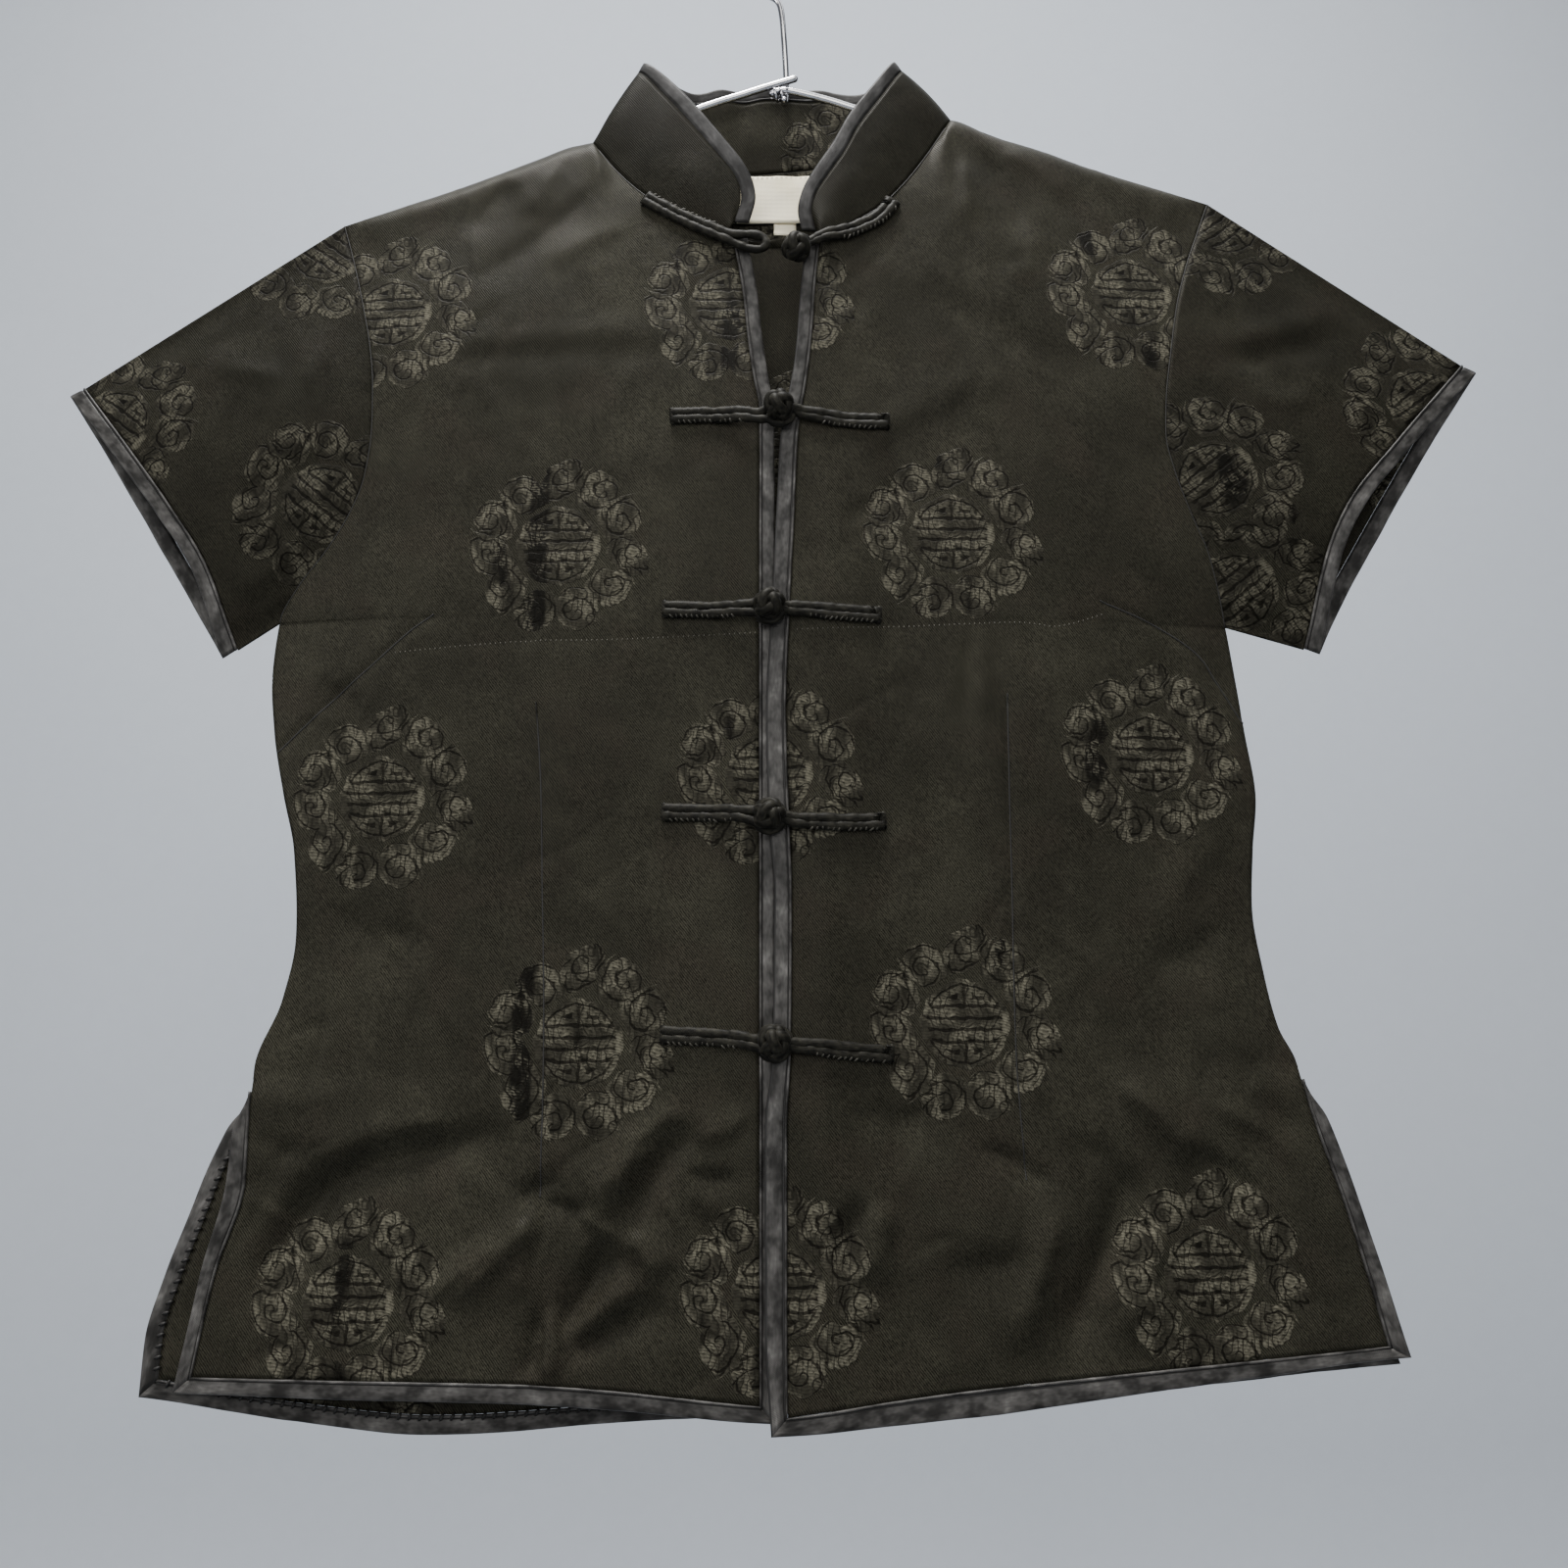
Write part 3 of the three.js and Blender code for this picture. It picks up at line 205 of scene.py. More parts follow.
# Each crease has its width, its height (below 0 is a trough) and the line it follows.
# A step has a ridge on one side of its line and a trough on the other.
frontFolds = [
    (13, -3.3, [(-108, -598), (-140, -606), (-172, -612), (-192, -622), (-206, -638), (-220, -662),
                (-232, -684)]),
    (8, 1.5, [(-135, -594), (-165, -600), (-188, -608), (-204, -624)]),
    (5, 1.1, [(-158, -680), (-141, -664), (-124, -650), (-110, -640)]),
    (7, -1.5, [(-226, -600), (-216, -606), (-208, -614)]),
    (4.5, -1.4, [(-104, -628), (-92, -631), (-78, -634)]),
    (4, 1.2, [(-88, -630), (-79, -638), (-70, -648)]),
    (5, -1.3, [(-66, -610), (-56, -604), (-44, -595)]),
    (5, -1.2, [(-42, -617), (-30, -619), (-16, -620)]),
    (6, -1.3, [(78, -604), (98, -612), (114, -626)]),
    (5, -1.3, [(168, -606), (190, -616), (204, -630)]),
    (8, 2.4, [(-100, -630), (-112, -645), (-124, -658), (-142, -672)]),
    (8, -1.8, [(-92, -618), (-104, -624), (-112, -630)]),
    (6, 1.3, [(-106, -634), (-109, -660), (-110, -672)]),
    (4, 1.6, [(-98, -668), (-99, -690), (-101, -704)], "step"),
    (10, -2.9, [(-70, -640), (-80, -662), (-94, -688)]),
    (7, 2.1, [(-66, -640), (-55, -655), (-50, -662)]),
    (6, 1.6, [(-92, -690), (-72, -676), (-50, -662)], "step"),
    (7, -2, [(-38, -590), (-52, -606), (-66, -624), (-76, -642)], "step"),
    (9, 1.2, [(-60, -596), (-66, -612), (-72, -630)]),
    (7, -1.3, [(-40, -628), (-30, -640), (-22, -652)]),
    (6, 1, [(-12, -590), (-24, -600), (-40, -604)]),
    (13, -2.5, [(196, -582), (216, -596), (232, -612), (242, -628)]),
    (8, 1.3, [(176, -586), (206, -600), (228, -622)]),
    (10, 2.3, [(140, -578), (160, -594), (178, -616)]),
    (9, -1.2, [(120, -600), (136, -612), (150, -632)]),
    (12, -3.6, [(146, -612), (134, -648), (122, -672), (112, -698)]),
    (9, 1.5, [(160, -632), (150, -660), (140, -688)]),
    (9, 2.4, [(118, -626), (106, -658), (94, -694)]),
    (7, 1.9, [(36, -626), (33, -644), (30, -664)], "step"),
    (12, -1.4, [(62, -652), (80, -656), (108, -650)]),
    (9, -0.9, [(22, -590), (46, -596), (72, -590)]),
    (10, -1.1, [(200, -640), (214, -660), (222, -684)]),
    (12, -1.1, [(-84, -142), (-104, -164), (-132, -190), (-162, -208)]),
    (7, 0.7, [(-70, -170), (-96, -182), (-120, -196)]),
    (8, 0.8, [(-110, -134), (-118, -152), (-128, -168)]),
    (9, -0.8, [(-130, -142), (-146, -160), (-156, -178)]),
    (6, 0.5, [(-176, -242), (-130, -238), (-84, -236), (-38, -236)], "step"),
    (8, -1.8, [(94, -124), (104, -140), (112, -160), (116, -184)]),
    (7, 1.4, [(88, -130), (90, -150), (88, -172)]),
    (8, 1.3, [(104, -126), (124, -140), (140, -160)]),
    (14, -1.7, [(60, -196), (96, -226), (130, -244), (160, -252)]),
    (12, 1.3, [(30, -300), (50, -280), (78, -262), (112, -250)]),
    (8, -1, [(22, -330), (44, -318), (60, -300)]),
    (4, 0.8, [(84, -378), (86, -400), (84, -424)], "step"),
    (10, -1.2, [(-216, -398), (-196, -410), (-176, -432)]),
    (12, 1.2, [(-222, -440), (-204, -462), (-190, -492)]),
    (13, -1.3, [(-206, -500), (-180, -516), (-150, -520)]),
    (13, 1.3, [(196, -470), (176, -492), (158, -520)]),
    (11, -1.4, [(200, -506), (176, -524), (150, -532)]),
    (15, 0.9, [(-60, -420), (-58, -470), (-62, -530)]),
    (15, 0.9, [(52, -410), (56, -470), (52, -540)]),
    (4, 0.7, [(-112, -330), (-111, -360), (-112, -400)], "step"),
]
backFolds = [
    (16, 2.4, [(-60, -560), (-76, -620), (-95, -684)]),
    (11, -1.6, [(-84, -570), (-104, -630), (-124, -690)]),
    (15, -2.4, [(70, -590), (92, -640), (110, -694)]),
    (10, 1.6, [(96, -580), (118, -630), (140, -684)]),
    (14, -1.8, [(20, -430), (24, -500), (26, -566)]),
    (14, -2.2, [(-150, -600), (-180, -636), (-206, -684)]),
    (12, -1.7, [(190, -590), (212, -626), (226, -668)]),
    (15, 1.8, [(-120, -180), (-90, -216), (-58, -262)]),
    (10, -1.3, [(-150, -190), (-128, -226), (-104, -256)]),
    (14, -1.8, [(120, -175), (96, -210), (70, -252)]),
    (13, -1.4, [(-190, -396), (-150, -412), (-112, -440)]),
    (13, 1.4, [(180, -400), (146, -420), (120, -452)]),
    (13, 1.1, [(-70, -420), (-72, -480), (-66, -540)]),
    (11, 1.3, [(-30, -620), (-22, -660), (-26, -700)]),
]

wrinkles = {"broad": 0.42, "middle": 0.22, "fine": 0.08, "crease": 1.5, "smallCrease": 0.9, "sharp": 0.07}
sewn = {"dartDepth": 0.6, "dartWide": 1.9, "ridge": 0.14, "ridgeAt": 6, "ridgeWide": 5, "prickDepth": 0.18,
        "prickWide": 2.4}

# darts sink a little along their seams; prick stitches pull a shallow line
dartSeams = {
    "right": {
        "bust": [(-228, -432.5), (-206, -411), (-185.9, -392.7), (-170, -378), (-159.2, -370.4)],
        "waist": [(-110.7, -412.9), (-107.6, -450), (-105.7, -495.2), (-103.6, -540), (-102.5, -578),
                  (-102.3, -627)],
    },
    "left": {
        "bust": [(207.6, -419), (197, -401), (187.9, -386.8), (167.9, -373.7), (144, -363.8)],
        "waist": [(99.9, -408.7), (99.7, -450), (99.7, -495.2), (99.2, -540), (99.3, -575.9),
                  (101.8, -620.1)],
    },
}
prickStitches = {
    "right": [(-176, -387.8), (-119.2, -384.3), (-70.4, -383.6), (-13, -380.8)],
    "left": [(6, -380.1), (60, -377.6), (105.4, -375.1), (124.1, -376.4), (144.3, -370.2)],
}


def nearLine(line, x, z):
    # distance to a line of points, part of the way along it, and which side of it
    line = np.asarray(line, float)
    lengths = np.hypot(*np.diff(line, axis=0).T)
    best, along, hand = np.full(np.shape(x), np.inf), np.zeros(np.shape(x)), np.zeros(np.shape(x))
    run = 0
    for (x1, z1), (x2, z2), length in zip(line[:-1], line[1:], lengths):
        wayX, wayZ = (x2 - x1) / length, (z2 - z1) / length
        at = np.clip((x - x1) * wayX + (z - z1) * wayZ, 0, length)
        offX, offZ = x - x1 - at * wayX, z - z1 - at * wayZ
        off = np.hypot(offX, offZ)
        closer = off < best
        best = np.where(closer, off, best)
        along = np.where(closer, (run + at) / lengths.sum(), along)
        hand = np.where(closer, np.where(wayX * offZ - wayZ * offX < 0, -1, 1), hand)
        run += length
    return best, along, hand


def foldHeight(folds, x, z):
    # each fold is steep where it turns away from the light above, and soft on its other side
    height = np.zeros(np.shape(x))
    for wide, high, line, *step in folds:
        off, along, hand = nearLine(line, x, z)
        reach = off / (wide * mix(0.7, 1.05, along))
        if step:
            shape = hand * reach * np.exp(0.5 - reach ** 2 / 2) * 1.1
        else:
            (x1, z1), (x2, z2) = line[0], line[-1]
            above = hand * np.sign(x2 - x1 + 1e-6) * abs(x2 - x1) / math.hypot(x2 - x1, z2 - z1)
            steep = above * np.tanh(off / 1.5) * (-1 if high > 0 else 1)
            shape = np.exp(-(reach * mix(0.75, 1.7, (steep + 1) / 2)) ** 1.6)
        height += high * shape * smoothStep(0, 0.32, along) * smoothStep(1, 0.68, along)
    return height * mix(1.1, 1.6, smoothStep(-470, -600, z))


def creaseAt(x, z, seed, turn, long, wide):
    # a sharp little crease wherever a stretched noise passes through nought
    along, across = x * math.cos(turn) + z * math.sin(turn), z * math.cos(turn) - x * math.sin(turn)
    value = noise.noise((along / long, across / wide, seed))
    return math.exp(-(value / wrinkles["sharp"]) ** 2) * max(0.0, noise.noise((x / 60, z / 55, seed + 40)))


def wrinkle(x, z, seed):
    # small creases are deepest low on the skirt, shallow elsewhere
    flat = np.stack([np.ravel(x), np.ravel(z)], axis=1)
    low = mix(0.5, 1.25, np.ravel(smoothStep(-480, -620, z)))
    broad, middle, fine, crease, small = [wrinkles[key] for key in ("broad", "middle", "fine", "crease",
                                                                    "smallCrease")]
    out = [broad * noise.noise((a / 47, b / 62, seed)) + middle * noise.noise((a / 21, b / 24, seed + 9))
           + fine * noise.noise((a / 8, b / 9, seed + 17))
           + deep * (crease * creaseAt(a, b, seed + 3, 2.2, 75, 24)
                     - crease * creaseAt(a, b, seed + 5, 0.8, 70, 26)
                     + small * creaseAt(a, b, seed + 7, 1.5, 50, 17))
           for (a, b), deep in zip(flat, low)]
    return np.reshape(out, np.shape(x))


def insideEdge(x, z):
    onRight = x < cloth["lensCentreX"]
    edge = np.where(onRight, look(frontEdge["right"], "z", "x", z), look(frontEdge["left"], "z", "x", z))
    return smoothStep(0, cloth["foldFadeOver"], np.abs(edge - x))


def sewnHeight(side, x, z):
    # darts and prick stitches
    height = np.zeros(np.shape(x))
    for line in dartSeams[side].values():
        off, along, hand = nearLine(line, x, z)
        inside = smoothStep(0, 0.02, along) * smoothStep(1, 0.98, along)
        height -= sewn["dartDepth"] * np.exp(-(off / sewn["dartWide"]) ** 2) * inside
        ridge = np.exp(-((off - sewn["ridgeAt"]) / sewn["ridgeWide"]) ** 2)
        height += sewn["ridge"] * ridge * inside * (hand > 0)
    off = nearLine(prickStitches[side], x, z)[0]
    return height - sewn["prickDepth"] * np.exp(-(off / sewn["prickWide"]) ** 2)


def frontPoint(side, x, z, lift=0.0, seed=3.0, creases=True):
    x, z = np.broadcast_arrays(np.asarray(x, float), np.asarray(z, float))
    half = halfDepth(x, z, topEdge[side])
    if side == "left":
        half = half + cloth["overlapLift"] * (1 - smoothStep(cloth["overlapFrom"], cloth["overlapTo"], x))
    if creases:
        half = half + foldHeight(frontFolds, x, z) * insideEdge(x, z)
        half = half + wrinkle(x, z, seed) * mix(0.25, 1, insideEdge(x, z)) + sewnHeight(side, x, z)
    return np.stack([x, -half - lift, z], axis=-1)


def backPoint(x, z, lift=0.0):
    x, z = np.broadcast_arrays(np.asarray(x, float), np.asarray(z, float))
    half = halfDepth(x, z, topEdge["back"]) + foldHeight(backFolds, x, z) * insideEdge(x, z)
    half = half + wrinkle(x, z, 31.0) * mix(0.25, 1, insideEdge(x, z))
    return np.stack([x, half + lift, z], axis=-1)


def unit(vectors):
    return vectors / np.maximum(np.linalg.norm(vectors, axis=-1, keepdims=True), 1e-9)


def runAlong(line):
    # length of a line up to each of its points
    return np.concatenate([[0], np.cumsum(np.linalg.norm(np.diff(line, axis=0), axis=1))])


def evenly(line, step):
    # the same line with points an even step apart
    line = np.asarray(line, float)
    run = runAlong(line)
    at = np.linspace(0, run[-1], max(2, int(round(run[-1] / step)) + 1))
    return np.stack([np.interp(at, run, line[:, k]) for k in range(line.shape[1])], axis=1)


def rounded(points, step, closed=False):
    # smooth curve through points, then evenly spaced
    points = np.asarray(points, float)
    count = len(points)
    fine = []
    for i in range(count if closed else count - 1):
        a, b, c, d = [points[k % count] if closed else points[min(max(k, 0), count - 1)]
                      for k in (i - 1, i, i + 1, i + 2)]
        for t in np.arange(0, 1, 0.05):
            fine.append(0.5 * (2 * b + (c - a) * t + (2 * a - 5 * b + 4 * c - d) * t * t
                               + (3 * b - a - 3 * c + d) * t ** 3))
    fine.append(points[0] if closed else points[-1])
    return evenly(np.array(fine), step)


def gridMesh(bm, points, uv=None, closedAcross=False, closedDown=False):
    # a grid from create_grid, laid over rows and columns of points in millimetres
    rows, columns = points.shape[:2]
    made = bmesh.ops.create_grid(bm, x_segments=columns - 1, y_segments=rows - 1, size=1)
    verts = made["verts"]
    verts.sort(key=lambda vert: vert.index)
    for vert, place in zip(verts, points.reshape(-1, 3) * mm):
        vert.co = place
    if uv is not None:
        layer = bm.loops.layers.uv.get("UVMap") or bm.loops.layers.uv.new("UVMap")
        order = {vert: i for i, vert in enumerate(verts)}
        flat = uv.reshape(-1, 2) * mm
        for face in {face for vert in verts for face in vert.link_faces}:
            for loop in face.loops:
                loop[layer].uv = flat[order[loop.vert]]
    seam = []
    if closedAcross:
        seam += [verts[i * columns + k] for i in range(rows) for k in (0, columns - 1)]
    if closedDown:
        seam += [verts[i + k * columns] for i in range(columns) for k in (0, rows - 1)]
    if seam:
        bmesh.ops.remove_doubles(bm, verts=list(dict.fromkeys(seam)), dist=2e-6)
    return verts


def turnOut(bm, outward=0):
    # an open sheet has no inside, so its faces are turned by the way they should look
    bm.normal_update()
    ways = [face.normal.y * (outward or (1 if face.calc_center_median().y > 0 else -1)) for face in bm.faces]
    if sum(ways) < 0:
        bmesh.ops.reverse_faces(bm, faces=bm.faces)


def finished(name, bm, materials, nodes=(), smooth=True, shell=0, offset=0, inner=0, closed=False):
    if closed:
        bmesh.ops.recalc_face_normals(bm, faces=bm.faces)
    mesh = bpy.data.meshes.new(name)
    bm.to_mesh(mesh)
    bm.free()
    piece = bpy.data.objects.new(name, mesh)
    bpy.context.scene.collection.objects.link(piece)
    for material in materials:
        mesh.materials.append(material)
    if smooth:
        mesh.shade_smooth()
    if shell:
        solid = piece.modifiers.new("cloth", "SOLIDIFY")
        solid.thickness = shell * mm
        solid.offset = offset
        solid.material_offset = inner
        solid.use_even_offset = False
    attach(piece, "root")
    if nodes:
        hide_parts(*nodes)
    return piece


print("materials")


class Graph:
    # short names for the nodes of one material
    def __init__(self, name):
        self.material = bpy.data.materials.new(name)
        self.material.use_nodes = True
        self.tree = self.material.node_tree
        self.tree.nodes.clear()
        self.shader = self.add("ShaderNodeBsdfPrincipled")
        output = self.add("ShaderNodeOutputMaterial")
        self.join(self.shader.outputs[0], output.inputs["Surface"])

    def add(self, kind, **settings):
        node = self.tree.nodes.new(kind)
        for key, value in settings.items():
            setattr(node, key, value)
        return node

    def join(self, source, target):
        if isinstance(source, (int, float, tuple)):
            target.default_value = source
        else:
            self.tree.links.new(source, target)

    def math(self, operation, *values):
        node = self.add("ShaderNodeMath", operation=operation)
        for value, socket in zip(values, node.inputs):
            self.join(value, socket)
        return node.outputs[0]

    def times(self, first, second):
        return self.math("MULTIPLY", first, second)

    def timesPlus(self, first, second, third):
        return self.math("MULTIPLY_ADD", first, second, third)

    def plus(self, first, second):
        return self.math("ADD", first, second)

    def minus(self, first, second):
        return self.math("SUBTRACT", first, second)

    def over(self, first, second):
        return self.math("DIVIDE", first, second)

    def most(self, first, second):
        return self.math("MAXIMUM", first, second)

    def size(self, value):
        return self.math("ABSOLUTE", value)

    def sine(self, value):
        return self.math("SINE", value)

    def fromMiddle(self, turns, width):
        # how far a place is from the middle of its own repeat
        return self.times(self.size(self.minus(self.math("FRACT", turns), 0.5)), width)

    def soft(self, low, high, value):
        # 0 below low, 1 above high
        node = self.add("ShaderNodeMapRange", interpolation_type="SMOOTHSTEP")
        for key, given in (("Value", value), ("From Min", low), ("From Max", high)):
            self.join(given, node.inputs[key])
        return node.outputs[0]

    def vector(self, operation, *values):
        node = self.add("ShaderNodeVectorMath", operation=operation)
        for value, socket in zip(values, node.inputs):
            self.join(value, socket)
        return node.outputs["Value"] if operation in ("LENGTH", "DOT_PRODUCT") else node.outputs[0]

    def parts(self, source):
        node = self.add("ShaderNodeSeparateXYZ")
        self.join(source, node.inputs[0])
        return node.outputs

    def together(self, x, y, z):
        node = self.add("ShaderNodeCombineXYZ")
        for value, socket in zip((x, y, z), node.inputs):
            self.join(value, socket)
        return node.outputs[0]

    def noise(self, where, scale, detail=2.0, rough=0.5, colour=False):
        node = self.add("ShaderNodeTexNoise")
        self.join(where, node.inputs["Vector"])
        node.inputs["Scale"].default_value = scale
        node.inputs["Detail"].default_value = detail
        node.inputs["Roughness"].default_value = rough
        return node.outputs["Color" if colour else "Fac"]

    def blend(self, part, first, second):
        node = self.add("ShaderNodeMix", data_type="RGBA")
        self.join(part, node.inputs["Factor"])
        for value, key in ((first, 6), (second, 7)):
            self.join(value, node.inputs[key])
        return node.outputs[2]

    def mix(self, part, first, second):
        node = self.add("ShaderNodeMix", data_type="FLOAT")
        for value, key in ((part, 0), (first, 2), (second, 3)):
            self.join(value, node.inputs[key])
        return node.outputs[0]

    def paint(self, colour, shade):
        # the colour, made lighter or darker by the shade
        shaded = self.vector("MULTIPLY", colour, self.together(shade, shade, shade))
        self.join(shaded, self.shader.inputs["Base Color"])

    def scale(self, where, x, y, z):
        node = self.add("ShaderNodeMapping")
        self.join(where, node.inputs["Vector"])
        node.inputs["Scale"].default_value = (x, y, z)
        return node.outputs[0]

    def bump(self, height, strength, distance):
        node = self.add("ShaderNodeBump")
        node.inputs["Strength"].default_value = strength
        node.inputs["Distance"].default_value = distance
        self.join(height, node.inputs["Height"])
        self.join(node.outputs[0], self.shader.inputs["Normal"])

    def object(self):
        return self.add("ShaderNodeTexCoord").outputs["Object"]

    def uv(self, name="UVMap"):
        return self.add("ShaderNodeUVMap", uv_map=name).outputs[0]

    def gloss(self, **values):
        names = {"rough": "Roughness", "metal": "Metallic", "level": "Specular IOR Level",
                 "sheen": "Sheen Weight", "sheenRough": "Sheen Roughness", "sheenTint": "Sheen Tint",
                 "tint": "Specular Tint"}
        for key, value in values.items():
            self.join(value, self.shader.inputs[names[key]])


satinLook = {
    "ground": (0.0112, 0.0107, 0.0078, 1),
    "groundWorn": (0.0188, 0.0180, 0.0130, 1),
    "groundBrown": (0.0150, 0.0132, 0.0098, 1),
    "figure": (0.0335, 0.0315, 0.0236, 1),
    "figureShaded": (0.0056, 0.0053, 0.0042, 1),
    "groove": (0.0060, 0.0054, 0.0040, 1),
    "twill": 0.00092,        # repeat of the twill's diagonal, in metres
    "twillWaver": 0.0006,
    "cloudScale": 19,        # broad worn patches
    "patchScale": 95,        # small ones
    "brownScale": 31,
    "groundRough": 0.40,
    "figureRough": 0.52,
    "roughRange": 0.22,
    "level": 0.04,
    "sheen": 0.02,
    "bump": 0.5,
    "bumpDepth": 0.00012,
    "glossTint": (1.0, 0.95, 0.84, 1),
    "sheenTint": (0.9, 0.86, 0.72, 1),
}


def satinGround(graph, where):
    # diagonal twill with slightly slubby threads; returns the ribs and the slubs
    x, y, z = graph.parts(where)
    diagonal = graph.plus(graph.times(x, 0.8), graph.times(z, 0.6))
    waver = graph.times(graph.noise(where, 240, 1.0), satinLook["twillWaver"])
    turns = graph.times(graph.plus(diagonal, waver), 2 * math.pi / satinLook["twill"])
    ribs = graph.sine(turns)
    threads = graph.together(graph.times(diagonal, 1500.0), graph.times(y, 300.0),
                             graph.times(graph.minus(z, x), 480.0))
    return ribs, graph.noise(threads, 1.0, 1.0, 0.6)


def makeFiguredSatin(name, patterned, depth=1.0):
    graph = Graph(name)
    where = graph.object()
    ribs, slub = satinGround(graph, where)
    cloudy = graph.noise(where, satinLook["cloudScale"], 3.0, 0.6)
    patchy = graph.noise(where, satinLook["patchScale"], 3.0, 0.6)
    hue = graph.noise(graph.scale(where, *[satinLook["brownScale"]] * 3), 1.0, 2.0, 0.5)
    worn = graph.plus(graph.times(cloudy, 0.74), graph.times(patchy, 0.36))
    ground = graph.blend(graph.soft(0.40, 0.78, worn), satinLook["ground"], satinLook["groundWorn"])
    ground = graph.blend(graph.times(graph.soft(0.5, 0.68, hue), 0.6), ground, satinLook["groundBrown"])
    height = graph.times(ribs, 0.5)
    height = graph.plus(height, graph.times(slub, 1.2))
    shade = graph.timesPlus(ribs, 0.5, graph.timesPlus(slub, 1.9, 0.05))
    rough = graph.timesPlus(patchy, satinLook["roughRange"],
                            satinLook["groundRough"] - satinLook["roughRange"] / 2)
    colour = ground
    if patterned:
        mask, weft, dark, gap = figure(graph)
        # painted shade: the figure turns dark where its floats lie in the shaded bands
        figureColour = graph.blend(dark, satinLook["figure"], satinLook["figureShaded"])
        figureColour = graph.blend(graph.times(gap, 0.92), figureColour, satinLook["groove"])
        weftShade = graph.timesPlus(weft, 2.1, 0.24)
        shade = graph.mix(mask, shade, weftShade)
        colour = graph.blend(mask, ground, figureColour)
        rough = graph.mix(mask, rough, satinLook["figureRough"])
        raised = graph.timesPlus(weft, 1.4, graph.timesPlus(gap, -2.2, 2.2))
        height = graph.mix(mask, height, raised)
    # depth below 1 darkens the colour, gloss and sheen: painted shade on pieces that turn up to the lamp
    # above
    graph.paint(colour, graph.times(shade, depth))
    graph.join(rough, graph.shader.inputs["Roughness"])
    graph.bump(height, satinLook["bump"], satinLook["bumpDepth"])
    graph.gloss(level=satinLook["level"] * depth, tint=satinLook["glossTint"],
                sheen=satinLook["sheen"] * depth, sheenRough=0.4, sheenTint=satinLook["sheenTint"])
    return graph.material


# The woven roundel: a barred round emblem with curled clouds about it. Sizes in millimetres.
roundel = {
    "clouds": 11,
    "cloudAt": 31.2,
    "cloudWide": 9.4,
    "cloudLong": 10.6,
    "curl": 5.4,
    "hornFrom": 30,
    "hornTo": 44.5,
    "hornWide": 3.4,
    "emblem": 19.2,
    "ringHalf": 1.25,
    "bar": 4.9,
    "barsTo": 7.35,
    "line": 1.15,
    "nest": 3.7,
    "weftPitch": 1.3,
    "column": 3.6,
    "pressLineShadeAt": -0.1122,    # where the painted shade of an upright press line crosses one roundel, in metres
}


